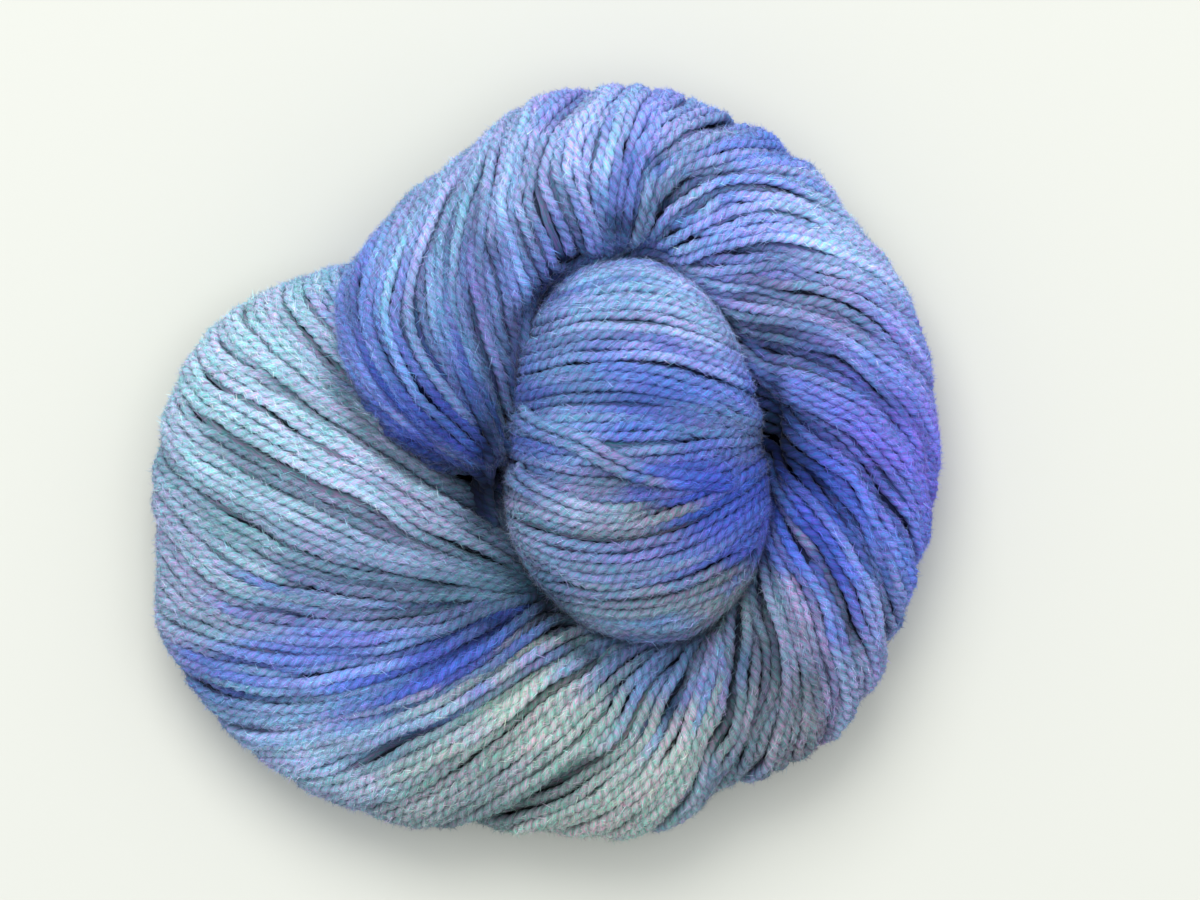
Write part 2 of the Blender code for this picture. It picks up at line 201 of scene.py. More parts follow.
# Painted shade: places that little light reaches, darkened in the colours: the middle in plan, the size along and
# across, the bearing of its length, and how dark.
# Less than nothing is painted light, made lighter.
SHADE_COLUMNS = ("x", "y", "long", "wide", "bearing", "dark")
SHADES = (
    (-27.8, -8.2, 4.8, 3.6, 100, 0.94),
    (-28.4, -10.8, 5.4, 2.8, 112, 0.7),
    (-28.6, -14.6, 4.6, 2.4, 150, 0.28),
    (-33.0, -5.4, 6.0, 2.8, 150, 0.75),
    (-53.5, 9.0, 9.0, 2.2, 125, 0.6),
    (-43.0, -1.5, 14.0, 2.0, 147, 0.5),
    (-37.0, 3.5, 9.0, 6.0, 55, 0.3),
    (-27.3, 1.5, 6.0, 3.0, 88, 0.88),
    (-22.5, -21.5, 7.5, 3.0, 122, 0.6),
    (-62.0, -31.0, 20.0, 2.0, 3, 0.25),
    (-35.0, -31.5, 14.0, 1.8, 5, 0.28),
    (-11.0, -35.6, 4.5, 2.0, 150, 0.6),
    (-16.6, -28.8, 6.0, 3.4, 135, 0.86),
    (-25.0, -32.0, 8.0, 2.4, 8, 0.66),
    (-33.0, -35.0, 9.0, 3.0, 25, 0.35),
    (-25.0, -23.5, 8.0, 1.8, 160, 0.35),
    (-50.0, -25.5, 18.0, 2.4, 176, 0.36),
    (-4.0, -38.2, 10.0, 2.6, 170, 0.5),
    (-5.0, -43.0, 4.0, 2.0, 40, 0.4),
    (6.0, -48.0, 3.6, 1.8, 60, 0.5),
    (12.0, -34.6, 8.0, 2.6, 35, 0.45),
    (18.0, -47.0, 13.0, 2.0, 79, 0.3),
    (22.0, -25.0, 7.0, 2.2, 62, 0.25),
    (21.4, -35.0, 8.0, 1.3, 82, 0.45),
    (34.0, -43.0, 7.0, 1.6, 95, 0.3),
    (11.0, -38.0, 3.0, 2.0, 70, 0.35),
    (5.0, -24.6, 9.0, 3.0, 5, 0.4),
    (26.8, -3.0, 5.0, 2.8, 88, 0.62),
    (25.4, 12.4, 3.0, 1.6, 100, 0.45),
    (22.5, 31.0, 6.0, 1.4, 168, 0.4),
    (21.5, 22.2, 2.6, 1.6, 150, 0.45),
    (30.0, 1.0, 7.0, 4.0, 110, 0.35),
    (24.2, 1.6, 5.4, 3.8, 95, 0.97),
    (31.0, -5.0, 5.0, 2.2, 130, 0.5),
    (24.2, 10.0, 5.0, 3.0, 100, 0.6),
    (26.0, 21.8, 8.0, 2.2, 170, 0.7),
    (23.0, 34.5, 10.0, 2.4, 170, 0.4),
    (0.5, 35.4, 7.0, 2.0, 178, -0.9),
    (-2.5, 41.0, 7.0, 2.4, 168, 0.5),
    (-18.6, 38.0, 7.0, 1.8, 98, 0.4),
    (12.0, 56.0, 10.0, 5.0, 30, 0.14),
    (25.0, -57.0, 6.0, 3.4, 30, -0.2),
    (-36.0, -40.0, 8.0, 3.0, 28, -0.16),
    (-44.0, -35.5, 5.0, 2.0, 10, -0.2),
    (-36.0, -68.0, 8.0, 4.0, 165, -0.18),
    (14.5, -39.0, 5.0, 3.4, 80, 0.28),
    (42.0, -46.0, 6.0, 4.0, 70, -0.12),
    (31.0, 14.0, 6.0, 4.0, 130, 0.22),
    (38.0, 47.0, 6.0, 4.0, 150, -0.12),
    (-42.0, 2.0, 3.0, 2.0, 140, -0.25),
    (-23.5, 25.0, 5.0, 2.2, 75, -0.35),
    (-66.0, -37.0, 9.0, 4.0, 0, -0.1),
    (-54.0, -62.0, 20.0, 3.4, 152, -0.22),
    (-12.0, 36.6, 3.0, 2.0, 30, -0.4),
    (-28.0, 18.0, 10.0, 1.8, 102, 0.4),
    (4.0, -12.6, 12.0, 2.4, 6, 0.3),
    (-31.0, -12.0, 5.0, 2.4, 150, 0.4),
    (-25.6, -7.8, 2.2, 2.0, 90, 0.5),
    (1.0, -6.8, 13.0, 1.8, -4, 0.3),
    (3.0, 45.5, 7.0, 2.0, 45, 0.55),
    (-5.5, 40.5, 4.0, 1.8, 75, 0.45),
    (-25.5, 37.0, 6.0, 2.4, 110, 0.42),
    (-54.0, 27.0, 8.0, 2.4, 80, 0.3),
    (-3.0, 42.0, 4.0, 2.0, 85, 0.35),
    (-16.6, 29.2, 5.0, 2.8, 48, 0.6),
)

# The dye: each splash has a colour and a place in plan, in millimetres from the bun's centre, and its reach.
DYES = {
    "foam": (182, 195, 192),
    "ice": (182, 209, 234),
    "frost": (174, 196, 246),
    "sky": (145, 178, 226),
    "pearl": (176, 188, 218),
    "mist": (156, 174, 206),
    "lavender": (148, 162, 206),
    "periwinkle": (144, 160, 244),
    "azure": (114, 144, 254),
    "violet": (130, 130, 248),
    "cornflower": (118, 140, 226),
    "denim": (116, 146, 200),
    "cobalt": (90, 114, 206),
    "royal": (66, 90, 202),
    "indigo": (46, 66, 150),
    "steel": (112, 136, 182),
    "dusk": (124, 134, 172),
    "teal": (98, 128, 156),
    "khaki": (134, 139, 148),
    "stone": (138, 154, 164),
    "sage": (157, 175, 178),
}

DYE_COLUMNS = ("dye", "x", "y", "reach")
SPLASHES = (
    ("ice", -68, 20, 11),
    ("ice", -82, 2, 8),
    ("sky", -60, 31, 7),
    ("mist", -90, -8, 6),
    ("ice", -68, -4, 10),
    ("ice", -74, -16, 8),
    ("pearl", -46, -8, 9),
    ("lavender", -48, -20, 9),
    ("steel", -58, -27, 5),
    ("teal", -31, -22, 7),
    ("mist", -86, -26, 7),
    ("lavender", -84, -38, 4),
    ("royal", -77, -43, 4),
    ("cornflower", -62, -37, 6),
    ("sky", -44, -35.5, 4),
    ("mist", -36, -34.5, 3),
    ("steel", -82, -50, 6),
    ("sky", -68, -50, 7),
    ("sky", -52, -48, 6),
    ("royal", -47, -44.5, 4.5),
    ("royal", -39.5, -41.5, 5),
    ("royal", -31.5, -37.2, 5),
    ("royal", -35.5, -39.6, 4),
    ("cobalt", -24, -33.5, 3),
    ("pearl", -32, -47, 3.5),
    ("sky", -43, -51, 5),
    ("mist", -60, -62, 8),
    ("sage", -33, -54, 8),
    ("foam", -20, -46, 7),
    ("stone", -36, -68, 7),
    ("sage", -12, -60, 7),
    ("foam", -14, -70, 6),
    ("foam", 4, -62, 8),
    ("steel", 18, -68, 7),
    ("denim", 3, -41, 5),
    ("cobalt", 14, -41, 4),
    ("stone", 14, -54, 6),
    ("foam", 10, -50, 3),
    ("pearl", 15, -37, 3),
    ("khaki", 28, -52, 7),
    ("dusk", 33, -38, 7),
    ("cobalt", 36, -22, 6),
    ("pearl", 31, -27, 4),
    ("lavender", 46, -32, 6),
    ("azure", 52, -28, 5),
    ("lavender", 42, -46, 6),
    ("royal", 34, -8, 7),
    ("cornflower", 46, -14, 7),
    ("violet", 55, -4, 7),
    ("violet", 44, 4, 6),
    ("periwinkle", 50, 14, 6),
    ("periwinkle", 32, 14, 6),
    ("cornflower", 40, 9, 6),
    ("periwinkle", 48, 22, 6),
    ("lavender", 34, 28, 7),
    ("frost", 45, 33, 6),
    ("frost", 30, 44, 6),
    ("periwinkle", 22, 38, 7),
    ("frost", 38, 47, 6),
    ("azure", 27, 58, 6),
    ("periwinkle", 18, 60, 3),
    ("frost", 12, 57, 6),
    ("periwinkle", 5, 64, 6),
    ("frost", -5, 60, 4),
    ("frost", -16, 55, 5),
    ("periwinkle", -15, 65, 3),
    ("frost", -26, 60, 6),
    ("frost", -32, 46, 7),
    ("sky", -40, 54, 6),
    ("sky", -43, 40, 7),
    ("azure", -52, 30, 5),
    ("cornflower", -53, 23, 5),
    ("denim", -37, 25, 7),
    ("royal", -44, 10.5, 6),
    ("cornflower", -41.5, 2, 2.5),
    ("royal", -36, 6, 7),
    ("indigo", -28, 1, 8),
    ("denim", -47, 17, 5),
    ("periwinkle", -24, 30, 6),
    ("sky", -24.5, 24, 3),
    ("cornflower", -16, 38, 5),
    ("frost", -20, 48, 5),
    ("frost", -9, 51, 4.5),
    ("cobalt", -6, 44, 6),
    ("sky", -3, 31, 6),
    ("frost", 8, 26, 6),
    ("frost", 15, 20, 5),
    ("denim", -14, 17, 5),
    ("cobalt", 3, 12, 6),
    ("azure", 20, 12, 5),
    ("steel", 16, 3, 6),
    ("sky", -15, 2, 6),
    ("cobalt", 4, 0, 5),
    ("dusk", -8, -5, 4),
    ("royal", 14, -5, 5),
    ("royal", 21, -6, 4),
    ("mist", -18, -12, 6),
    ("khaki", 4, -14, 5),
    ("cobalt", 20, -15, 4),
    ("royal", 13, -19.5, 4),
    ("cornflower", 5, -22, 4),
    ("denim", -10, -22, 6),
    ("stone", -4, -28, 6),
    ("khaki", 8, -28, 4),
    ("stone", 17, -26, 4),
    ("denim", 0, -35, 5),
)


DYE_SEED = 1
DYE_STRENGTH = np.array([0.85, 0.885, 0.82])


def srgb(colour):
    c = np.asarray(colour, float) / 255
    return np.where(c <= 0.04045, c / 12.92, ((c + 0.055) / 1.055) ** 2.4)


def smooth(at, known_at, known):
    """A monotone cubic through the rows of a table, held at its ends."""
    at, known_at, known = (np.asarray(v, float) for v in (at, known_at, known))
    step = np.diff(known_at)
    slope = np.diff(known) / step
    tangent = np.zeros(len(known_at))
    before, after = slope[:-1], slope[1:]
    same = before * after > 0
    first, second = 2 * step[1:] + step[:-1], step[1:] + 2 * step[:-1]
    tangent[1:-1][same] = (first + second)[same] / (
        first[same] / before[same] + second[same] / after[same]
    )
    tangent[0], tangent[-1] = slope[0], slope[-1]
    i = np.clip(np.searchsorted(known_at, at) - 1, 0, len(step) - 1)
    t = np.clip((at - known_at[i]) / step[i], 0, 1)
    return (
        known[i] * (1 + 2 * t) * (1 - t) ** 2
        + tangent[i] * step[i] * t * (1 - t) ** 2
        + known[i + 1] * t * t * (3 - 2 * t)
        + tangent[i + 1] * step[i] * t * t * (t - 1)
    )


def ease(value, low, high):
    t = np.clip((value - low) / (high - low), 0, 1)
    return t * t * (3 - 2 * t)


def unit(v):
    return v / np.maximum(np.linalg.norm(v, axis=-1, keepdims=True), 1e-9)


# The sections once, on a fine grid of turns.
TURN_GRID = np.arange(-14, 434, 0.5)
TABLE = {
    name: smooth(
        TURN_GRID,
        [row[0] for row in SECTIONS],
        [row[k] for row in SECTIONS],
    )
    for k, name in enumerate(SECTION_COLUMNS)
}


def light_at(points):
    """How much light reaches each point between the coil and the bun, for the painted light and shade in the colours.
    """
    light = np.ones(points.shape[:-1])
    for x, y, long_, wide, bearing, dark in SHADES:
        c, s = math.cos(math.radians(bearing)), math.sin(math.radians(bearing))
        dx, dy = points[..., 0] - x, points[..., 1] - y
        light *= 1 - dark * np.exp(-(((dx * c + dy * s) / long_) ** 2) - ((dy * c - dx * s) / wide) ** 2)
    return light


def section(turn, name):
    return np.interp(turn, TURN_GRID, TABLE[name])


def reach(turn):
    crease, outer = section(turn, "inner"), section(turn, "outer")
    return crease - np.minimum(TUCK, 0.3 * (outer - crease)), outer, crease


def angle_at(turn, share):
    """The angle round the section at a share of the way from the crease to the outer edge, over the top."""
    inner, outer, crease = reach(turn)
    crease = crease - CLOSE * (crease - inner) / TUCK
    across = (crease + (outer - crease) * share - (inner + outer) / 2) * 2 / (outer - inner)
    across = np.clip(np.sign(across) * np.abs(across) ** (TOP_ROUND / 2), -1, 1)
    return np.arccos(-across)


def coil_point(turn, angle):
    """A point of the coil's envelope."""
    inner, outer, _ = reach(turn)
    under, top = section(turn, "under"), section(turn, "top")
    widest = under + WIDEST_AT * (top - under)
    across, up = -np.cos(angle), np.sin(angle)
    power = np.where(up >= 0, TOP_ROUND, UNDER_ROUND)
    across = np.sign(across) * np.abs(across) ** (2 / power)
    rise = np.abs(up) ** (2 / power)
    rise = np.where(up >= 0, rise * (1 + section(turn, "lean") * across), rise)
    radius = (inner + outer) / 2 + (outer - inner) / 2 * across
    height = widest + np.where(up >= 0, (top - widest) * rise, -(widest - under) * rise)
    bearing = np.radians(195 - turn)
    return np.stack([radius * np.cos(bearing), radius * np.sin(bearing), height], axis=-1)


def coil_normal(turn, angle):
    along = coil_point(turn + 0.6, angle) - coil_point(turn - 0.6, angle)
    round_ = coil_point(turn, angle + 0.03) - coil_point(turn, angle - 0.03)
    return unit(np.cross(along, round_))


# ---------------------------------------------------------------- strands of the coil

MIX = 0.45
START = 0.66  # how soon a strand turns along the crease
A_STEPS, B_STEPS, C_STEPS = 22, 84, 26
UNDER_FROM, UNDER_TO = -0.46 * math.pi, 1.475 * math.pi


def flow_three(strand):
    rows = np.arange(len(FLOW))
    return [smooth(strand, rows, [row[k] for row in FLOW]) for k in range(3)]


def through(a, b, c, w):
    """A monotone curve through a at 0, b at a half and c at 1."""
    first, second = (b - a) * 2, (c - b) * 2
    middle = np.where(first * second > 0, 2 * first * second / np.where(first + second == 0, 1, first + second), 0)
    t = np.clip(w / 0.5, 0, 1)
    u = np.clip((w - 0.5) / 0.5, 0, 1)
    low = a * (1 + 2 * t) * (1 - t) ** 2 + first * 0.5 * t * (1 - t) ** 2 + b * t * t * (3 - 2 * t) + middle * 0.5 * t * t * (t - 1)
    high = b * (1 + 2 * u) * (1 - u) ** 2 + middle * 0.5 * u * (1 - u) ** 2 + c * u * u * (3 - 2 * u) + second * 0.5 * u * u * (u - 1)
    return np.where(w < 0.5, low, high)


def pass_steps():
    """The samples along one pass of a strand: part, then the angle's share or the share across."""
    a = np.linspace(0, 1, A_STEPS, endpoint=False)
    b = 1 - (1 - np.linspace(0, 1, B_STEPS)) ** 1.7
    c = np.linspace(0, 1, C_STEPS + 1)[1:]
    return a, b, c


def pass_at(strand):
    """Turn, angle and share for strands given as an array (strands, samples)."""
    a_steps, b_steps, c_steps = pass_steps()
    na, nb = len(a_steps), len(b_steps)
    crease, middle, edge = flow_three(strand)
    turn, angle, share = np.zeros_like(strand), np.zeros_like(strand), np.zeros_like(strand)
    # Over the top.
    f = np.broadcast_to(b_steps, strand[:, na : na + nb].shape)
    psi = np.arccos(np.clip(1 - 2 * f, -1, 1)) / np.pi
    w = np.where(f < 0.5, 0.5 * (2 * f) ** START, (1 - MIX) * f + MIX * psi)
    part = slice(na, na + nb)
    turn[:, part] = through(crease[:, part], middle[:, part], edge[:, part], w)
    angle[:, part] = angle_at(turn[:, part], f)
    share[:, part] = f
    # Up the inner side.
    part = slice(0, na)
    start = angle_at(crease[:, part], 0.0)
    up = np.broadcast_to(a_steps, crease[:, part].shape)
    angle[:, part] = UNDER_FROM + (start - UNDER_FROM) * up
    from_turn = middle[:, part] - 62 + 8 * np.clip(middle[:, part] / 400, 0, 1)
    turn[:, part] = crease[:, part] + (from_turn - crease[:, part]) * (1 - up) ** 0.62
    # Down the outer side and under.
    part = slice(na + nb, None)
    down = np.broadcast_to(c_steps, crease[:, part].shape)
    past = down * (UNDER_TO - np.pi)
    angle[:, part] = np.pi + past
    slope = (edge[:, part] - middle[:, part]) * 2 * MIX / np.pi
    later = 22.0 / (np.pi / 2)
    turn[:, part] = edge[:, part] + slope * past + (later - slope) * past**2 / (2 * (UNDER_TO - np.pi))
    share[:, part] = 1 + past / np.pi
    return turn, angle, share


def spacing(lines):
    """Distance between neighbouring lines, per row, square to the lines."""
    side = np.gradient(lines, axis=0)
    along = unit(np.gradient(lines, axis=1))
    side = side - (side * along).sum(axis=-1, keepdims=True) * along
    return np.linalg.norm(side, axis=-1)


def noise_along(rng, count, samples, lengths, wave):
    """Smooth noise, one row for each strand, of about unit size."""
    s = np.linspace(0, 1, samples)[None, :] * np.asarray(lengths)[:, None]
    out = np.zeros((count, samples))
    for share in (1.0, 0.62, 0.4):
        phase = rng.uniform(0, 2 * np.pi, (count, 1))
        stretch = rng.uniform(0.8, 1.25, (count, 1))
        out += share**0.5 * np.sin(2 * np.pi * s / (wave * share) * stretch + phase)
    return out / 1.4


def bit_order(index, bits=5):
    value = np.zeros(len(index))
    for k in range(bits):
        value += ((index >> k) & 1) / 2.0 ** (k + 1)
    return value


def even_out(strand, weight, spread=4.0):
    """Moves the strands along the coil so that the ones on top lie evenly."""
    out = np.empty_like(strand)
    for g in range(strand.shape[1]):
        count = np.cumsum(weight[:, g]) - 0.5 * weight[:, g]
        grid = np.arange(0, count[-1] + 1, 1.0)
        mass = np.interp(grid, count, strand[:, g])
        pad = int(3 * spread)
        kernel = np.exp(-0.5 * (np.arange(-pad, pad + 1) / spread) ** 2)
        kernel /= kernel.sum()
        first, last = mass[0], mass[-1]
        left = 2 * first - mass[1 : pad + 1][::-1]
        right = 2 * last - mass[-pad - 1 : -1][::-1]
        soft = np.convolve(np.concatenate([left, mass, right]), kernel, "valid")
        out[:, g] = np.interp(count, grid, soft)
    return out


def bunches(rng, count):
    """For each strand: how far it lies down towards the groove beside its bunch, how far it leans to the bunch's middle,
    and how deep that bunch's grooves are."""
    drop, lean, deep, i = np.zeros(count), np.zeros(count), np.zeros(count), 0
    while i < count:
        size = min(int(rng.choice([2, 3, 3, 4, 5, 6, 7])), count - i)
        at = (np.arange(size) + 0.5) / size * 2 - 1
        drop[i : i + size] = np.abs(at) ** 2.4 * (0.4 + 0.12 * size)
        lean[i : i + size] = -at * 0.24
        deep[i : i + size] = rng.uniform(0.5, 1.8)
        i += size
    return drop, lean, deep


SAMPLES = A_STEPS + B_STEPS + C_STEPS
ROWS = np.linspace(0, len(FLOW) - 1, (len(FLOW) - 1) * 14 + 1)


def count_strands():
    """Distance between lines one row apart, and the running number of strands along the rows."""
    turn, angle, share = pass_at(np.repeat(ROWS[:, None], SAMPLES, axis=1))
    gap = spacing(coil_point(turn, angle)) / (ROWS[1] - ROWS[0])
    widest = gap[:, A_STEPS - 4 : A_STEPS + B_STEPS + 6].max(axis=1)
    widest = np.convolve(np.pad(widest, 6, "edge"), np.ones(13) / 13, "valid")
    density = widest / PITCH * 0.99
    return gap, np.concatenate([[0], np.cumsum((density[1:] + density[:-1]) / 2 * np.diff(ROWS))])


GAP, TOTAL = count_strands()


def hollow_depth(strand, surface, share):
    """How deep the folds and hollows go at each sample."""
    down = CREASE_DEPTH * np.clip(1 - share / 0.08, 0, 1) ** 2
    number = np.interp(strand, ROWS, TOTAL)
    for row, wide, depth, start, end in FOLDS:
        off = np.abs(number - np.interp(row, ROWS, TOTAL)) * PITCH / wide
        along = ease(share, start - 0.12, start + 0.06) * (1 - ease(share, end - 0.15, end + 0.05))
        down += depth * np.exp(-((off * 1.4) ** 2)) * along * 1.25
    for middle, across_at, along_size, across_size, depth in HOLLOWS:
        centre = coil_point(np.array(middle), angle_at(np.array(middle), across_at))
        away = surface - centre
        bearing = math.radians(195 - middle)
        inwards = away @ np.array([math.cos(bearing), math.sin(bearing), 0.0])
        sideways = np.sqrt(np.maximum((away**2).sum(axis=-1) - inwards**2, 0))
        down += depth * np.exp(-((inwards / across_size) ** 2) - (sideways / along_size) ** 2)
    return down


def coil_strands(rng):
    """Labels of the strands, their rows at each sample, and how far each is pushed down for want of room."""
    samples, rows, gap = SAMPLES, ROWS, GAP
    count = int(TOTAL[-1])
    labels = np.interp(np.arange(count) + 0.5, TOTAL, rows)
    each = np.gradient(labels)
    room = np.stack([np.interp(labels, rows, gap[:, g]) for g in range(samples)], axis=1) * each[:, None] / PITCH
    # Where the pale lobe goes in under the crossing lobe, the strands crowd together.
    crowd = np.exp(-(((np.arange(samples) - A_STEPS) / 24.0) ** 2))
    room = room + 0.5 * ease(labels, 27.2, 28.4)[:, None] * crowd[None, :]
    index = np.arange(count)
    first = (bit_order(index) + rng.uniform(-0.04, 0.04, count) + 0.02)[:, None]
    sink = ease(first - room, 0.0, 0.16)
    far = ease(first - room, 0.35, 0.6)
    kernel = np.exp(-0.5 * (np.arange(-5, 6) / 2.0) ** 2)
    kernel /= kernel.sum()
    sink = np.stack([np.convolve(np.pad(row, 5, "edge"), kernel, "valid") for row in sink])
    strand = even_out(np.repeat(labels[:, None], samples, axis=1), 1 - 0.97 * sink)
    return labels, each, strand, sink, far, count


def noise_field(rng, count, samples, across, along):
    """Noise that is smooth over neighbouring strands and along them."""
    grid = rng.normal(0, 1, (count // across + 4, samples // along + 4))
    y = np.linspace(1, grid.shape[0] - 2.001, count)
    x = np.linspace(1, grid.shape[1] - 2.001, samples)
    yi, xi = y.astype(int), x.astype(int)
    ty, tx = (y - yi)[:, None], (x - xi)[None, :]
    ty, tx = ty * ty * (3 - 2 * ty), tx * tx * (3 - 2 * tx)
    a, b = grid[yi][:, xi], grid[yi][:, xi + 1]
    c, d = grid[yi + 1][:, xi], grid[yi + 1][:, xi + 1]
    return (a * (1 - tx) + b * tx) * (1 - ty) + (c * (1 - tx) + d * tx) * ty


def lift(rng, count, samples):
    """How unevenly the bunches and the strands lie on each other."""
    return (
        0.5 * np.abs(noise_field(rng, count, samples, 4, 24))
        + 0.28 * np.abs(noise_field(rng, count, samples, 1, 14))
    )


def lay_coil(rng):
    labels, each, strand, sink, far, count = coil_strands(rng)
    samples = strand.shape[1]
    drop, lean, deep = bunches(rng, count)
    strand = strand + lean[:, None] * each[:, None] * (1 - sink)
    turn, angle, share = pass_at(strand)
    surface = coil_point(turn, angle)
    out = coil_normal(turn, angle)
    lengths = np.linalg.norm(np.diff(surface, axis=1), axis=-1).sum(axis=1)
    # How deep each strand lies under the envelope.
    deepness = deep[:, None] * np.clip(1 + 0.5 * noise_field(rng, count, samples, 5, 22), 0.2, 1.9)
    # The pale lobe is spread out, and its strands lie more evenly.
    calm = (1 - 0.35 * ease(labels, 24.5, 26))[:, None]
    down = STRAND_RADIUS + calm * drop[:, None] * deepness
    down += calm * lift(rng, count, samples)
    down += hollow_depth(strand, surface, share)
    # Strands that find no room lie under their neighbours.
    down += sink * 1.75 + far * sink * 1.3
    # The ends of a pass go down into the bundle underneath.
    g = np.arange(samples)
    head = rng.uniform(2, 9, (count, 1))
    tail = rng.uniform(2, 9, (count, 1))
    down += 3.2 * (1 - ease(g[None, :], 0, head)) + 3.2 * ease(g[None, :], samples - 1 - tail, samples - 1)
    side = unit(np.cross(np.gradient(surface, axis=1), out))
    wander = noise_along(rng, count, samples, lengths, 40) * 0.24 + noise_field(rng, count, samples, 5, 26) * 0.35
    points = surface - out * down[..., None] + side * wander[..., None]
    points[..., 2] = np.maximum(points[..., 2], STRAND_RADIUS + 0.05)
    # Painted light and shade: how much light gets down to each strand, little beside the bun, little in the folds and
    # in the shaded places.
    beside = np.clip(share, 0, 1) * (section(turn, "outer") - section(turn, "inner"))
    lit = light_at(surface) * (1 - 0.5 * np.exp(-((beside / 2.6) ** 1.2))) * np.exp(-0.24 * np.clip(down - STRAND_RADIUS - 0.5, 0, 6))
    # Painted shade: darker further down the inner side.
    lit[:, :A_STEPS] *= np.linspace(0.2, 1.0, A_STEPS)
    return dict(points=points, out=out, sink=sink, turn=turn, strand=strand, labels=labels, down=down, lit=lit)


# ---------------------------------------------------------------- strands of the bun


def rim_at(x, y):
    turn = (195 - np.degrees(np.arctan2(y, x))) % 360
    turn = np.where(turn < 15, turn + 360, turn)
    return reach(turn)[2] - 0.2 - 1.3 * np.exp(-(((turn - 193) / 6) ** 2))


def bun_line(x, three):
    left_x, left_y, middle_x, middle_y, right_x, right_y = three
    return (
        left_y * (x - middle_x) * (x - right_x) / ((left_x - middle_x) * (left_x - right_x))
        + middle_y * (x - left_x) * (x - right_x) / ((middle_x - left_x) * (middle_x - right_x))
        + right_y * (x - left_x) * (x - middle_x) / ((right_x - left_x) * (right_x - middle_x))
    )


def bun_height(x, y, under=False):
    q = np.clip(np.hypot(x, y) / rim_at(x, y), 0, 1)
    flat = q ** (BUN_ROUND / 2)
    rise = np.sqrt(np.clip(1 - flat**2, 0, 1)) ** (2 / BUN_ROUND)
    return BUN_WIDEST + np.where(under, -(BUN_WIDEST - BUN_LOW) * rise, (BUN_TOP - BUN_WIDEST) * rise)


BUN_SAMPLES = 90
BUN_TURNS = np.linspace(-0.62, np.pi + 0.62, BUN_SAMPLES)


def bun_lines(strand):
    """Points of the bun's envelope for strands given as an array (strands, samples)."""
    rows = np.arange(len(BUN_FLOW))
    three = [smooth(strand, rows, [row[k] for row in BUN_FLOW]) for k in range(6)]
    # Where each line meets the rim.
    middle = [t[:, BUN_SAMPLES // 2 : BUN_SAMPLES // 2 + 1] for t in three]
    x = np.linspace(-40, 40, 801)[None, :]
    y = bun_line(x, middle)
    inside = np.hypot(x, y) < rim_at(x, y)
    at_middle = np.argmin(np.abs(x - middle[2]), axis=1)
    left = np.array([x[0, j - np.argmax(~inside[i, : j + 1][::-1])] for i, j in enumerate(at_middle)])
    right = np.array([x[0, j + np.argmax(~inside[i, j:])] for i, j in enumerate(at_middle)])
    t = BUN_TURNS[None, :]
    centre, half = (left + right)[:, None] / 2, (right - left)[:, None] / 2
    px = centre - half * np.cos(t)
    py = bun_line(px, three)
    under = (t < 0) | (t > np.pi)
    pz = bun_height(px, py, under)
    return np.stack([px, py, pz], axis=-1)


def outward(points):
    """Away from the middle of the bun, square to its dome."""
    flat = points * np.array([1.0, 1.0, 1.6]) - np.array([0, 0, BUN_WIDEST * 1.6])
    return unit(flat)


def lay_bun(rng):
    rows = np.linspace(-0.35, len(BUN_FLOW) - 0.65, 200)
    held = np.clip(rows, 0, len(BUN_FLOW) - 1)
    lines = bun_lines(np.repeat(held[:, None], BUN_SAMPLES, axis=1))
    gap = spacing(lines) / (rows[1] - rows[0])
    part = slice(10, BUN_SAMPLES - 10)
    widest = gap[:, part].max(axis=1)
    widest = np.convolve(np.pad(widest, 8, "edge"), np.ones(17) / 17, "valid")
    inner = (rows >= 0) & (rows <= len(BUN_FLOW) - 1)
    rows, gap, widest = rows[inner], gap[inner], widest[inner]
    total = np.concatenate([[0], np.cumsum((widest[1:] + widest[:-1]) / 2 * np.diff(rows) / PITCH)])
    count = int(total[-1])
    labels = np.interp(np.arange(count) + 0.5, total, rows)
    each = np.gradient(labels)
    room = np.stack([np.interp(labels, rows, gap[:, g]) for g in range(BUN_SAMPLES)], axis=1) * each[:, None] / PITCH
    first = (bit_order(np.arange(count)) + rng.uniform(-0.04, 0.04, count))[:, None]
    sink = ease(first - room, 0.0, 0.16)
    strand = even_out(np.repeat(labels[:, None], BUN_SAMPLES, axis=1), 1 - 0.97 * sink, 3.0)
    drop, lean, deep = bunches(rng, count)
    strand = np.clip(strand + lean[:, None] * each[:, None] * (1 - sink), 0, len(BUN_FLOW) - 1)
    surface = bun_lines(strand)
    out = outward(surface)
    lengths = np.linalg.norm(np.diff(surface, axis=1), axis=-1).sum(axis=1)
    down = STRAND_RADIUS + 0.6 * drop[:, None] * deep[:, None] * np.clip(1 + 0.5 * noise_field(rng, count, BUN_SAMPLES, 4, 18), 0.2, 1.8)
    down += sink * 1.8 + lift(rng, count, BUN_SAMPLES) * 0.7
    side = unit(np.cross(np.gradient(surface, axis=1), out))
    wander = noise_along(rng, count, BUN_SAMPLES, lengths, 36) * 0.22 + noise_field(rng, count, BUN_SAMPLES, 4, 20) * 0.3
    points = surface - out * down[..., None] + side * wander[..., None]
    # Painted light and shade on the bun's strands: less light deep down, by the crease and in the shaded places.
    lit = bun_lit(points) * np.exp(-0.24 * np.clip(down - STRAND_RADIUS - 0.4, 0, 5))
    lit = lit * light_at(points) ** (0.2 + 0.6 * (1 - ease(points[..., 2], 29, 42)))
    return dict(points=points, out=out, sink=sink, lit=lit)


def bun_lit(points):
    """Painted shade on the bun: darker towards the crease round it, and towards the floor."""
    q = np.hypot(points[..., 0], points[..., 1]) / rim_at(points[..., 0], points[..., 1])
    return (1 - 0.35 * ease(q, 0.92, 1.0) * ease(-points[..., 2], -40.0, -26.0)) * np.clip((points[..., 2] - 8) / 18, 0.2, 1)


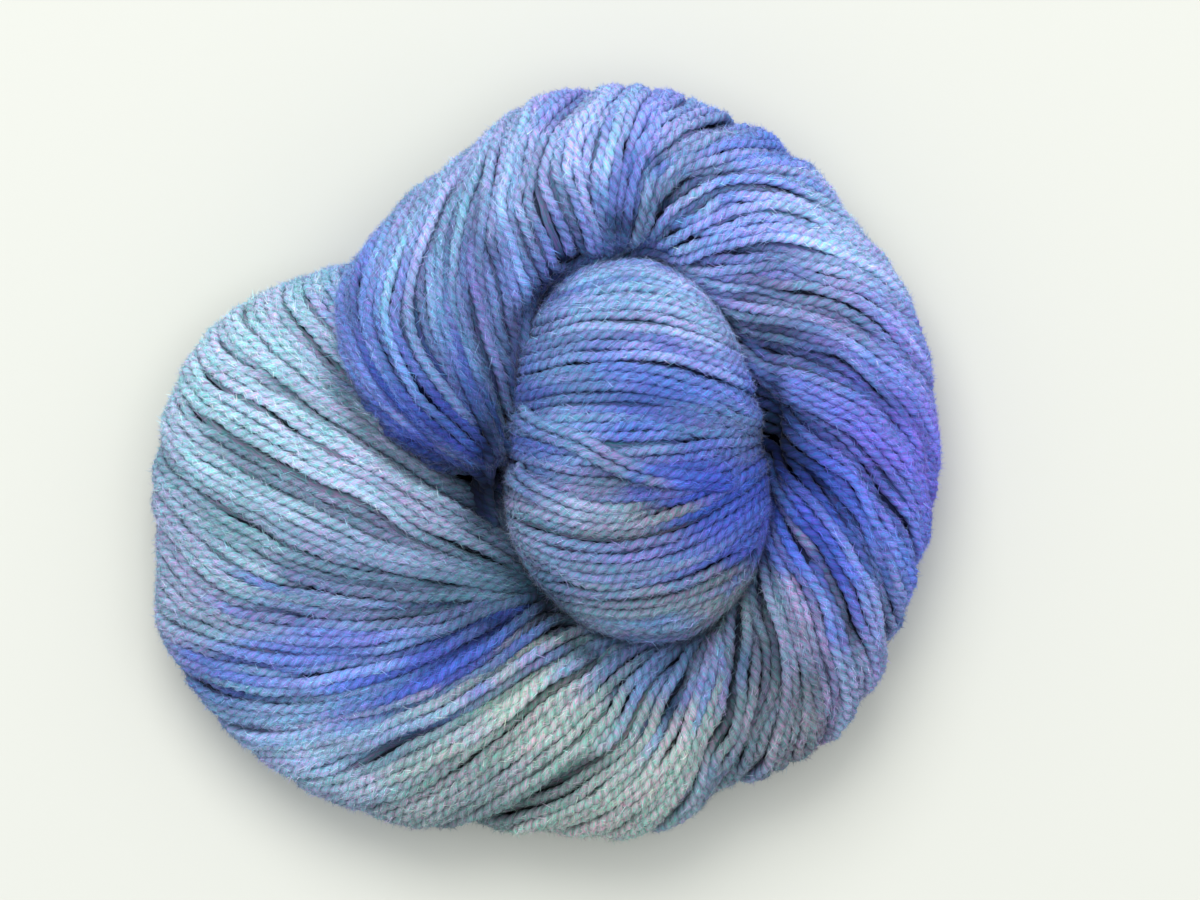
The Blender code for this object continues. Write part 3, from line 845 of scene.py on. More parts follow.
def lay_loose(rng):
    """The strands that cross over the others on the bun, and those round its foot."""
    lines, outs = [], []
    for path, offsets in CROSSINGS:
        path = np.array(path, float)
        length = np.concatenate([[0], np.cumsum(np.linalg.norm(np.diff(path, axis=0), axis=1))])
        at = np.linspace(0, length[-1], BUN_SAMPLES)
        x, y = smooth(at, length, path[:, 0]), smooth(at, length, path[:, 1])
        way = unit(np.stack([np.gradient(x), np.gradient(y)], axis=-1))
        for offset in offsets:
            part = at / length[-1]
            spread = offset * (1.0 + 0.25 * np.sin(5 * part + offset))
            px, py = x - way[:, 1] * spread, y + way[:, 0] * spread
            rise = 0.75 - 2.6 * (1 - ease(part, 0.0, 0.09)) - 2.2 * ease(part, 0.88, 1.0) - 0.25 * abs(offset)
            lines.append(np.stack([px, py, bun_height(px, py)], axis=-1))
            out = outward(lines[-1])
            lines[-1] = lines[-1] + out * (rise - STRAND_RADIUS)[:, None]
            outs.append(out)
    for low, first, last in SKIRTS:
        bearing = np.radians(np.linspace(first, last, BUN_SAMPLES))
        rim = rim_at(np.cos(bearing), np.sin(bearing)) - STRAND_RADIUS - 0.25
        height = BUN_WIDEST + 1.2 - low + 0.4 * np.sin(3 * bearing + low)
        if low < -3:
            # The highest ones lie on the dome, and their ends go under its strands.
            part = np.linspace(0, 1, BUN_SAMPLES)
            rim = rim - 0.045 * low**2 - 2.6 * (1 - ease(part, 0.0, 0.2) + ease(part, 0.8, 1.0))
        else:
            rim = rim - 0.03 * low**2
        line = np.stack([rim * np.cos(bearing), rim * np.sin(bearing), height], axis=-1)
        lines.append(line)
        outs.append(unit(line * np.array([1, 1, 0])))
    lines, outs = np.array(lines), np.array(outs)
    # Painted light and shade, as on the bun's strands.
    lit = bun_lit(lines) * light_at(lines) ** (0.2 + 0.6 * (1 - ease(lines[..., 2], 29, 42)))
    return dict(points=lines, out=outs, sink=np.zeros(lines.shape[:2]), lit=lit)


# ---------------------------------------------------------------- tubes


def resample(points, step):
    """Even steps along a line, by cubic pieces. Gives the points and the sample number of each."""
    length = np.concatenate([[0], np.cumsum(np.linalg.norm(np.diff(points, axis=0), axis=1))])
    count = max(int(length[-1] / step), 3)
    at = np.linspace(0, length[-1], count + 1)
    i = np.clip(np.searchsorted(length, at, side="right") - 1, 0, len(points) - 2)
    h = np.maximum(length[i + 1] - length[i], 1e-6)
    t = ((at - length[i]) / h)[:, None]
    tangent = np.gradient(points, axis=0) / np.maximum(np.gradient(length), 1e-6)[:, None]
    p0, p1 = points[i], points[i + 1]
    m0, m1 = tangent[i] * h[:, None], tangent[i + 1] * h[:, None]
    made = (
        p0 * (1 + 2 * t) * (1 - t) ** 2
        + m0 * t * (1 - t) ** 2
        + p1 * t * t * (3 - 2 * t)
        + m1 * t * t * (t - 1)
    )
    return made, i + t[:, 0], at


class Bundle:
    """Gathers tubes into one mesh, with the dye of each point darkened by painted shade, and two UV maps."""

    def __init__(self, name):
        self.name = name
        self.points, self.faces, self.caps, self.dyes, self.runs = [], [], [], [], []
        self.size = 0
        self.length = 0.0

    def add(self, line, out, dye, rng, radius=STRAND_RADIUS, sides=SIDES, plied=True):
        """line: points of the middle, evenly spaced. One ring a step, and the ring turns by one place a step."""
        count = len(line)
        along = unit(np.gradient(line, axis=0))
        side = unit(np.cross(along, out))
        up = np.cross(side, along)
        start = rng.uniform(0, 2 * np.pi)
        ring = np.arange(sides) * 2 * np.pi / sides
        step = np.arange(count)
        # theta runs from the side towards the outward direction.
        if plied:
            ridge = start + step * 2 * np.pi / sides
            theta = ridge[:, None] + ring[None, :]
            size = radius * (1 + PLY_ROUND * np.cos(2 * ring)) / (1 + PLY_ROUND)
            size = np.broadcast_to(size, theta.shape)
        else:
            theta = np.broadcast_to(ring[None, :], (count, sides))
            size = np.full(theta.shape, radius)
        ends = np.ones(count)
        ends[0] = ends[-1] = 0.35
        size = size * ends[:, None]
        made = (
            line[:, None, :]
            + side[:, None, :] * (np.cos(theta) * size)[..., None]
            + up[:, None, :] * (np.sin(theta) * size)[..., None]
        )
        self.points.append(made.reshape(-1, 3))
        # Painted shade: the sides of a strand, down between its neighbours, get less light, so their colour is darker.
        shade = 0.6 + 0.4 * ease(np.sin(theta), -0.25, 0.8)
        self.dyes.append((dye[:, None, :] * shade[..., None] ** np.array([1.1, 1.0, 0.97])).reshape(-1, 3))
        i, j = np.meshgrid(np.arange(count - 1), np.arange(sides), indexing="ij")
        k = (j + 1) % sides
        base = self.size
        quads = np.stack([i * sides + j, (i + 1) * sides + j, (i + 1) * sides + k, i * sides + k], axis=-1) + base
        self.faces.append(quads.reshape(-1, 4))
        self.caps.append(base + np.arange(sides))
        self.caps.append(base + (count - 1) * sides + np.arange(sides)[::-1])
        self.runs.append((count, sides, self.length, PLY_TURN / sides))
        self.length += (count - 1) * PLY_TURN / sides
        self.size += count * sides


def build(bundle, material):
    points = np.concatenate(bundle.points) + CENTRE
    quads = np.concatenate(bundle.faces)
    caps = bundle.caps
    mesh = bpy.data.meshes.new(bundle.name)
    loops = np.concatenate([quads.ravel()] + caps)
    sizes = np.concatenate([np.full(len(quads), 4), np.array([len(c) for c in caps])])
    starts = np.concatenate([[0], np.cumsum(sizes)[:-1]])
    mesh.vertices.add(len(points))
    mesh.vertices.foreach_set("co", (points * MM).astype(np.float32).ravel())
    mesh.loops.add(len(loops))
    mesh.loops.foreach_set("vertex_index", loops.astype(np.int32))
    mesh.polygons.add(len(sizes))
    mesh.polygons.foreach_set("loop_start", starts.astype(np.int32))
    mesh.polygons.foreach_set("loop_total", sizes.astype(np.int32))
    mesh.update(calc_edges=True)
    mesh.validate()
    mesh.polygons.foreach_set("use_smooth", np.full(len(mesh.polygons), True))
    dye = np.concatenate(bundle.dyes)
    # The dye attribute holds the dye times the painted light and shade.
    attribute = mesh.color_attributes.new("dye", "FLOAT_COLOR", "POINT")
    attribute.data.foreach_set("color", np.concatenate([dye, np.ones((len(dye), 1))], axis=1).astype(np.float32).ravel())
    # The run of the yarn, in turns of the plies along and in sides round, and the sheet for the baked colour.
    run = mesh.uv_layers.new(name="run")
    baked = mesh.uv_layers.new(name="OFBake")
    run_uv, bake_uv = [], []
    widest = max(r[1] for r in bundle.runs)
    pieces = sum(r[0] + 1 for r in bundle.runs)
    rows = max(int(math.sqrt(pieces * (PLY_TURN / SIDES) / (widest * 0.75))), 1)
    per_row = math.ceil(pieces / rows)
    at = 0
    tile_w, tile_h = 1.0 / per_row, 1.0 / (rows + len(caps) // per_row + 1)
    for count, sides, length, step in bundle.runs:
        i, j = np.meshgrid(np.arange(count - 1), np.arange(sides), indexing="ij")
        place = at + i
        row, col = place // per_row, place % per_row
        u0, u1 = col * tile_w, (col + 1) * tile_w
        v0, v1 = (row + 0.04 + 0.92 * j / sides) * tile_h, (row + 0.04 + 0.92 * (j + 1) / sides) * tile_h
        uv = np.stack([np.stack([u0, v0], -1), np.stack([u1, v0], -1), np.stack([u1, v1], -1), np.stack([u0, v1], -1)], axis=2)
        bake_uv.append(uv.reshape(-1, 2))
        s0, s1 = length + i * step, length + (i + 1) * step
        w0, w1 = j * 6.0 / sides, (j + 1) * 6.0 / sides
        uv = np.stack([np.stack([s0, w0], -1), np.stack([s1, w0], -1), np.stack([s1, w1], -1), np.stack([s0, w1], -1)], axis=2)
        run_uv.append(uv.reshape(-1, 2))
        at += count + 1
    cap_uv = []
    for n, cap in enumerate(caps):
        ring = np.arange(len(cap)) * 2 * np.pi / len(cap)
        col, row = n % per_row, rows + n // per_row
        cap_uv.append(np.stack([(col + 0.5 + 0.4 * np.cos(ring)) * tile_w, (row + 0.5 + 0.4 * np.sin(ring)) * tile_h], -1))
    bake = np.concatenate(bake_uv + cap_uv)
    runs = np.concatenate(run_uv + [c * 0 for c in cap_uv])
    baked.data.foreach_set("uv", np.clip(bake, 0, 1).astype(np.float32).ravel())
    run.data.foreach_set("uv", runs.astype(np.float32).ravel())
    mesh.uv_layers.active = run
    run.active_render = True
    mesh.materials.append(material)
    piece = bpy.data.objects.new(bundle.name, mesh)
    bpy.context.scene.collection.objects.link(piece)
    return piece


# ---------------------------------------------------------------- dye


def dye_at(points, along, rng_shift):
    """Mixed colour of the splashes near each point. points, along: (..., 3); rng_shift: (..., 2) millimetres along and across."""
    colours = np.array([srgb(DYES[row[0]]) for row in SPLASHES])
    place = points[..., :2] + along[..., :2] * rng_shift[..., :1]
    across = np.stack([-along[..., 1], along[..., 0]], axis=-1)
    place = place + across * rng_shift[..., 1:]
    flat = place.reshape(-1, 2)
    way = unit(along[..., :2] + 1e-6).reshape(-1, 2)
    cost = np.empty((len(flat), len(SPLASHES)))
    for k, (_, x, y, size) in enumerate(SPLASHES):
        away = flat - np.array([x, y])
        forward = (away * way).sum(axis=1)
        sideways = away[:, 0] * way[:, 1] - away[:, 1] * way[:, 0]
        cost[:, k] = (forward / (1.35 * size)) ** 2 + (sideways / (0.8 * size)) ** 2
    weight = np.exp(-(cost - cost.min(axis=1, keepdims=True)) * 0.6)
    mixed = (weight @ colours) / weight.sum(axis=1, keepdims=True)
    return mixed.reshape(points.shape)


# ---------------------------------------------------------------- materials


def node_material(name):
    material = bpy.data.materials.new(name)
    material.use_nodes = True
    tree = material.node_tree
    return material, tree.nodes, tree.links, tree.nodes["Principled BSDF"]


def wool_material(sheen):
    """Dyed wool: the dye attribute with its painted light and shade, fine fibres that run with the plies, lighter and
    darker, painted shade in the groove between the plies, and a soft sheen.
    """
    material, nodes, links, shader = node_material("dyed_wool_strands" if sheen else "dyed_wool_underneath")
    shader.inputs["Roughness"].default_value = 0.95
    shader.inputs["Specular IOR Level"].default_value = 0.15
    shader.inputs["Sheen Weight"].default_value = sheen
    shader.inputs["Sheen Roughness"].default_value = 0.45
    shader.inputs["Sheen Tint"].default_value = (0.65, 0.75, 1.0, 1)
    dye = nodes.new("ShaderNodeVertexColor")
    dye.layer_name = "dye"
    run = nodes.new("ShaderNodeUVMap")
    run.uv_map = "run"
    stretch = nodes.new("ShaderNodeMapping")
    stretch.inputs["Scale"].default_value = (0.55, 4.2, 1.0)
    fibres = nodes.new("ShaderNodeTexNoise")
    fibres.noise_dimensions = "2D"
    fibres.inputs["Scale"].default_value = 1.0
    fibres.inputs["Detail"].default_value = 4.0
    fibres.inputs["Roughness"].default_value = 0.65
    tone = nodes.new("ShaderNodeMapRange")
    tone.inputs["From Min"].default_value = 0.3
    tone.inputs["From Max"].default_value = 0.7
    tone.inputs["To Min"].default_value = 0.66
    tone.inputs["To Max"].default_value = 1.34
    def multiply(first, second):
        node = nodes.new("ShaderNodeVectorMath")
        node.operation = "MULTIPLY"
        links.new(first, node.inputs[0])
        links.new(second, node.inputs[1])
        return node.outputs["Vector"]

    def maths(operation, first, second=None):
        node = nodes.new("ShaderNodeMath")
        node.operation = operation
        links.new(first, node.inputs[0])
        if second is not None:
            node.inputs[1].default_value = second
        return node.outputs["Value"]

    links.new(run.outputs["UV"], stretch.inputs["Vector"])
    links.new(stretch.outputs["Vector"], fibres.inputs["Vector"])
    links.new(fibres.outputs["Fac"], tone.inputs["Value"])
    # Painted shade: the groove between the two plies runs at a quarter and at three quarters of the way round, and the
    # colour is darkened there.
    parts = nodes.new("ShaderNodeSeparateXYZ")
    links.new(run.outputs["UV"], parts.inputs["Vector"])
    across = maths("ABSOLUTE", maths("SUBTRACT", maths("MODULO", parts.outputs["Y"], 3.0), 1.5))
    groove = nodes.new("ShaderNodeMapRange")
    groove.interpolation_type = "SMOOTHSTEP"
    groove.inputs["From Min"].default_value = 0.05
    groove.inputs["From Max"].default_value = 0.75
    groove.inputs["To Min"].default_value = 0.68
    groove.inputs["To Max"].default_value = 1.0
    links.new(across, groove.inputs["Value"])
    # Heather: the fibres took the dye unevenly.
    heather = nodes.new("ShaderNodeTexNoise")
    heather.noise_dimensions = "2D"
    heather.inputs["Scale"].default_value = 1.0
    heather.inputs["Detail"].default_value = 2.0
    spread = nodes.new("ShaderNodeMapping")
    spread.inputs["Scale"].default_value = (1.3, 1.9, 1.0)
    spread.inputs["Location"].default_value = (17.0, 5.0, 0.0)
    links.new(run.outputs["UV"], spread.inputs["Vector"])
    links.new(spread.outputs["Vector"], heather.inputs["Vector"])
    tint = nodes.new("ShaderNodeValToRGB")
    tint.color_ramp.elements[0].position = 0.36
    tint.color_ramp.elements[0].color = (1.42, 0.83, 1.10, 1)
    tint.color_ramp.elements[1].position = 0.64
    tint.color_ramp.elements[1].color = (0.60, 1.14, 1.03, 1)
    links.new(heather.outputs["Fac"], tint.inputs["Fac"])
    colour = multiply(dye.outputs["Color"], tone.outputs["Result"])
    colour = multiply(colour, groove.outputs["Result"])
    colour = multiply(colour, tint.outputs["Color"])
    links.new(colour, shader.inputs["Base Color"])
    bump = nodes.new("ShaderNodeBump")
    bump.inputs["Strength"].default_value = 0.35
    bump.inputs["Distance"].default_value = 0.00012
    links.new(fibres.outputs["Fac"], bump.inputs["Height"])
    links.new(bump.outputs["Normal"], shader.inputs["Normal"])
    return material


def fibre_material():
    """Single fibres: the strand's dye, with its painted light and shade, and a soft sheen."""
    material, nodes, links, shader = node_material("dyed_wool_fibres")
    shader.inputs["Roughness"].default_value = 0.95
    shader.inputs["Specular IOR Level"].default_value = 0.1
    shader.inputs["Sheen Weight"].default_value = 0.3
    shader.inputs["Sheen Roughness"].default_value = 0.5
    dye = nodes.new("ShaderNodeVertexColor")
    dye.layer_name = "dye"
    links.new(dye.outputs["Color"], shader.inputs["Base Color"])
    return material


def shade_material():
    """The inside of the bundle, which gets next to no light: a dark sheet whose colour is painted shade."""
    material, nodes, links, shader = node_material("dyed_wool_inside_painted_shade")
    shader.inputs["Roughness"].default_value = 1.0
    shader.inputs["Specular IOR Level"].default_value = 0.0
    where = nodes.new("ShaderNodeTexCoord")
    cloud = nodes.new("ShaderNodeTexNoise")
    cloud.inputs["Scale"].default_value = 300.0
    ramp = nodes.new("ShaderNodeValToRGB")
    ramp.color_ramp.elements[0].color = (0.45, 0.45, 0.5, 1)
    ramp.color_ramp.elements[1].color = (1.3, 1.3, 1.3, 1)
    dye = nodes.new("ShaderNodeVertexColor")
    dye.layer_name = "dye"
    both = nodes.new("ShaderNodeVectorMath")
    both.operation = "MULTIPLY"
    links.new(where.outputs["Object"], cloud.inputs["Vector"])
    links.new(cloud.outputs["Fac"], ramp.inputs["Fac"])
    links.new(ramp.outputs["Color"], both.inputs[0])
    links.new(dye.outputs["Color"], both.inputs[1])
    links.new(both.outputs["Vector"], shader.inputs["Base Color"])
    return material


def floor_material():
    material, nodes, links, shader = node_material("pale_floor")
    shader.inputs["Roughness"].default_value = 0.9
    shader.inputs["Specular IOR Level"].default_value = 0.1
    shader.inputs["Base Color"].default_value = (0.605, 0.615, 0.565, 1)
    return material


# ---------------------------------------------------------------- assembly


def in_bun(points, margin):
    x, y, z = points[..., 0], points[..., 1], points[..., 2]
    rim = rim_at(x, y)
    q = np.hypot(x, y) / (rim - margin)
    flat = np.clip(q, 0, 1) ** (BUN_ROUND / 2)
    rise = np.sqrt(1 - np.clip(flat, 0, 1) ** 2) ** (2 / BUN_ROUND)
    top = BUN_WIDEST + (BUN_TOP - margin - BUN_WIDEST) * rise
    return (q < 1) & (z < top)


def in_coil(points, turn, margin):
    """Whether points lie inside the coil's section at the given turn."""
    inner, outer, _ = reach(turn)
    under, top = section(turn, "under"), section(turn, "top")
    widest = under + WIDEST_AT * (top - under)
    there = (turn > SECTIONS[0][0] + 1) & (turn < SECTIONS[-1][0] - 1)
    radius = np.hypot(points[..., 0], points[..., 1])
    half = np.maximum((outer - inner) / 2 - margin, 0.1)
    across = np.abs(radius - (inner + outer) / 2) / half
    z = points[..., 2] - widest
    up = np.where(z > 0, z / np.maximum(top - widest - margin, 0.1), -z / np.maximum(widest - under - margin, 0.1))
    power = np.where(z > 0, TOP_ROUND, UNDER_ROUND)
    return there & (across**power + up**power < 1)


def runs_of(keep, shortest=4):
    edges = np.diff(np.concatenate([[0], keep.astype(int), [0]]))
    starts, stops = np.where(edges == 1)[0], np.where(edges == -1)[0]
    return [(a, b) for a, b in zip(starts, stops) if b - a >= shortest]


def at_samples(values, where):
    i = np.clip(where.astype(int), 0, len(values) - 2)
    t = (where - i)[:, None]
    return values[i] * (1 - t) + values[i + 1] * t


def add_strands(bundles, choose, strands, keep, rng, shift_along=3.6, shift_across=1.8, plain=False, roots=None):
    points, out, sink = strands["points"], strands["out"], strands["sink"]
    count, samples = sink.shape
    along = unit(np.gradient(points, axis=1))
    own = np.random.default_rng([DYE_SEED, int(plain), int(roots is None)])
    shift = np.stack(
        [
            own.normal(0, shift_along, (count, 1)) + noise_field(own, count, samples, 3, 12) * 1.9,
            own.normal(0, shift_across, (count, 1)) + noise_field(own, count, samples, 2, 12) * 1.3,
        ],
        axis=-1,
    )
    # Close to, every strand is mottled.
    shift[..., 0] += noise_field(own, count, samples, 1, 6) * 1.6
    shift[..., 1] += noise_field(own, count, samples, 1, 6) * 1.1
    mottle = 0.07 * noise_field(own, count, samples, 1, 5)
    tint = 0.03 * noise_field(own, count, samples, 1, 6)
    # The crossing lobe and the lobe under it meet at an edge, and each keeps its own colours up to there.
    apart = np.zeros(points.shape)
    if "turn" in strands:
        over = 1 - ease(strands["turn"], 30, 60)
        below = ease(strands["turn"], 350, 372)
        apart = over[..., None] * np.array([3.0, 2.2, 0.0]) - below[..., None] * np.array([4.0, 3.0, 0.0])
    colour = dye_at(points + apart, along, shift)
    # Painted light and shade: lit, times a random brightness per strand.
    bright = np.exp(own.normal(0, 0.06, (count, 1)) + 0.08 * noise_field(own, count, samples, 1, 16) + mottle) * strands["lit"]
    # Each strand took the dye a little differently, towards violet or towards teal.
    hue = own.normal(0, 0.026, (count, 1)) + 0.026 * noise_field(own, count, samples, 1, 14) + tint
    colour = colour * np.exp(hue[..., None] * np.array([1.5, -0.5, 0.35]))
    # The painted shade leans towards teal.
    colour = colour * bright[..., None] ** np.array([1.15, 1.03, 0.96]) * DYE_STRENGTH
    stretch, thick = rng.uniform(0.86, 1.14, count), rng.uniform(0.94, 1.05, count)
    for n in range(count):
        for a, b in runs_of(keep[n]):
            bundle = bundles[choose(n, (a + b) // 2)]
            sides = 5 if plain else SIDES
            line, where, _ = resample(points[n, a:b], 1.7 if plain else PLY_TURN * stretch[n] / sides)
            # Painted shade: the strands of the layer underneath get half the colour.
            tone = 0.5 if plain else 1.0
            away = unit(at_samples(out[n, a:b], where))
            dye = at_samples(colour[n, a:b], where) * tone
            if roots is not None:
                sunk = np.interp(where, np.arange(b - a), sink[n, a:b])
                roots.append(np.concatenate([line, unit(np.gradient(line, axis=0)), away, dye], axis=1)[sunk < 0.4])
            bundle.add(
                line,
                away,
                dye,
                rng,
                radius=1.0 if plain else STRAND_RADIUS * thick[n],
                sides=sides,
                plied=not plain,
            )


def lay_under(rng, coil):
    """The next layer down: between each two strands, one more that shows in the gap."""
    strand = (coil["strand"][1:] + coil["strand"][:-1]) / 2
    sink = np.maximum(coil["sink"][1:], coil["sink"][:-1])
    turn, angle, share = pass_at(strand)
    surface, out = coil_point(turn, angle), coil_normal(turn, angle)
    down = (coil["down"][1:] + coil["down"][:-1]) / 2 + 0.95
    side = unit(np.cross(np.gradient(surface, axis=1), out))
    lengths = np.linalg.norm(np.diff(surface, axis=1), axis=-1).sum(axis=1)
    wander = noise_along(rng, len(strand), SAMPLES, lengths, 60) * 0.45
    points = surface - out * down[..., None] + side * wander[..., None]
    points[..., 2] = np.maximum(points[..., 2], STRAND_RADIUS + 0.05)
    return dict(points=points, out=out, sink=sink, turn=turn, lit=(coil["lit"][1:] + coil["lit"][:-1]) / 2)


def lay_under_bun(bun):
    points = (bun["points"][1:] + bun["points"][:-1]) / 2
    out = unit(bun["out"][1:] + bun["out"][:-1])
    return dict(points=points - out * 0.95, out=out, sink=np.maximum(bun["sink"][1:], bun["sink"][:-1]), lit=bun["lit"][1:])


def lay_fuzz(name, roots, number, rng, material):
    """Fine fibres that stand off the strands, one sliver each."""
    chosen = roots[rng.integers(0, len(roots), number)]
    line, along, out, dye = (chosen[:, k : k + 3] for k in (0, 3, 6, 9))
    side = unit(np.cross(along, out))
    turned = rng.normal(0, 0.75, (number, 1))
    normal = out * np.cos(turned) + side * np.sin(turned)
    round_ = side * np.cos(turned) - out * np.sin(turned)
    forward = rng.choice([-1.0, 1.0], (number, 1)) * rng.uniform(0.5, 1.2, (number, 1))
    way = unit(along * forward + round_ * rng.normal(0, 0.45, (number, 1)) + normal * rng.uniform(0.02, 0.3, (number, 1)))
    start = line + along * rng.uniform(-0.4, 0.4, (number, 1)) + normal * STRAND_RADIUS * 0.93
    half = unit(np.cross(way, normal)) * rng.uniform(0.035, 0.07, (number, 1))
    tip = start + way * rng.uniform(0.9, 2.6, (number, 1)) + normal * rng.uniform(0, 0.15, (number, 1))
    verts = np.stack([start - half, start + half, tip], axis=1).reshape(-1, 3)
    verts[:, 2] = np.maximum(verts[:, 2], 0.05)
    mesh = bpy.data.meshes.new(name)
    mesh.vertices.add(3 * number)
    mesh.vertices.foreach_set("co", ((verts + CENTRE) * MM).astype(np.float32).ravel())
    mesh.loops.add(3 * number)
    mesh.loops.foreach_set("vertex_index", np.arange(3 * number, dtype=np.int32))
    mesh.polygons.add(number)
    mesh.polygons.foreach_set("loop_start", np.arange(0, 3 * number, 3, dtype=np.int32))
    mesh.polygons.foreach_set("loop_total", np.full(number, 3, dtype=np.int32))
    mesh.update(calc_edges=True)
    tint = np.array([[1.32, 0.86, 1.12], [0.7, 1.1, 1.08], [1.0, 1.0, 1.0], [1.15, 1.1, 0.96]])[rng.integers(0, 4, number)]
    # The strand's colour there, with its painted light and shade, in random tints and brightness.
    shade = dye * tint * np.exp(rng.normal(0.08, 0.28, (number, 1)))
    shade = np.repeat(np.clip(shade, 0, 1), 3, axis=0)
    attribute = mesh.color_attributes.new("dye", "FLOAT_COLOR", "POINT")
    attribute.data.foreach_set("color", np.concatenate([shade, np.ones((len(shade), 1))], axis=1).astype(np.float32).ravel())
    # Two fibres share a cell of the sheet for the baked colour.
    across = math.ceil(math.sqrt(number / 2))
    cell, half_of = np.arange(number) // 2, np.arange(number) % 2
    corner = np.stack([cell % across, cell // across], axis=-1)[:, None, :]
    low = np.array([[0.04, 0.04], [0.84, 0.04], [0.04, 0.84]])
    high = np.array([[0.96, 0.96], [0.16, 0.96], [0.96, 0.16]])
    sheet = (corner + np.where(half_of[:, None, None] == 0, low, high)) / (across + 1)
    baked = mesh.uv_layers.new(name="OFBake")
    baked.data.foreach_set("uv", sheet.astype(np.float32).ravel())
    mesh.materials.append(material)
    piece = bpy.data.objects.new(name, mesh)
    bpy.context.scene.collection.objects.link(piece)
    return piece


def main():
    rng = np.random.default_rng(20)
    wool, deep = wool_material(0.05), wool_material(0.0)
    inside = shade_material()
    coil = lay_coil(rng)
    points, turn = coil["points"], coil["turn"]
    buried = in_bun(points, 3.0)
    for other in (turn + 360, turn - 360):
        buried |= in_coil(points, other, 3.0)
    keep = (coil["sink"] < 0.97) & ~buried
    keep[coil["labels"] < 3.2, : A_STEPS - 2] = False
    edges = np.array([5.0, 11.0, 17.0, 22.5, 26.5])
    names = ["strands_crossing_lobe", "strands_top", "strands_right", "strands_bottom", "strands_lower_left", "strands_pale_lobe"]
    bundles = [Bundle(name) for name in names]
    where = np.searchsorted(edges, coil["labels"])
    roots = []
    add_strands(bundles, lambda n, g: where[n], coil, keep, rng, roots=roots)
    under = lay_under(rng, coil)
    buried_under = in_bun(under["points"], 3.5)
    for other in (under["turn"] + 360, under["turn"] - 360):
        buried_under |= in_coil(under["points"], other, 4.0)
    shown = np.zeros(under["sink"].shape, bool)
    shown[:, A_STEPS - 2 : A_STEPS + B_STEPS + 10] = True
    below = Bundle("strands_underneath")
    add_strands([below], lambda n, g: 0, under, shown & (under["sink"] < 0.5) & ~buried_under, rng, plain=True)
    bun = lay_bun(rng)
    bun_bundle = [below, Bundle("strands_bun")]
    bun_keep = bun["sink"] < 0.97
    add_strands(bun_bundle, lambda n, g: 1, bun, bun_keep, rng, roots=roots)
    under_bun = lay_under_bun(bun)
    add_strands([below], lambda n, g: 0, under_bun, under_bun["sink"] < 0.5, rng, plain=True)
    loose = lay_loose(rng)
    add_strands(bun_bundle, lambda n, g: 1, loose, loose["sink"] < 0.5, rng, 1.0, 0.6, roots=roots)
    roots = np.concatenate(roots)
    roots = roots[roots[:, 9:].sum(axis=1) > 0.16]
    fibres = fibre_material()
    made = [lay_fuzz(f"fuzz_{side}", part, 90000, rng, fibres) for side, part in (("left", roots[roots[:, 0] < -22]), ("right", roots[roots[:, 0] >= -22]))]
    for bundle in bundles + bun_bundle:
        made.append(build(bundle, deep if bundle is below else wool))
    made.append(core(inside))
    for piece in made:
        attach(piece, "root")
        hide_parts("skein")


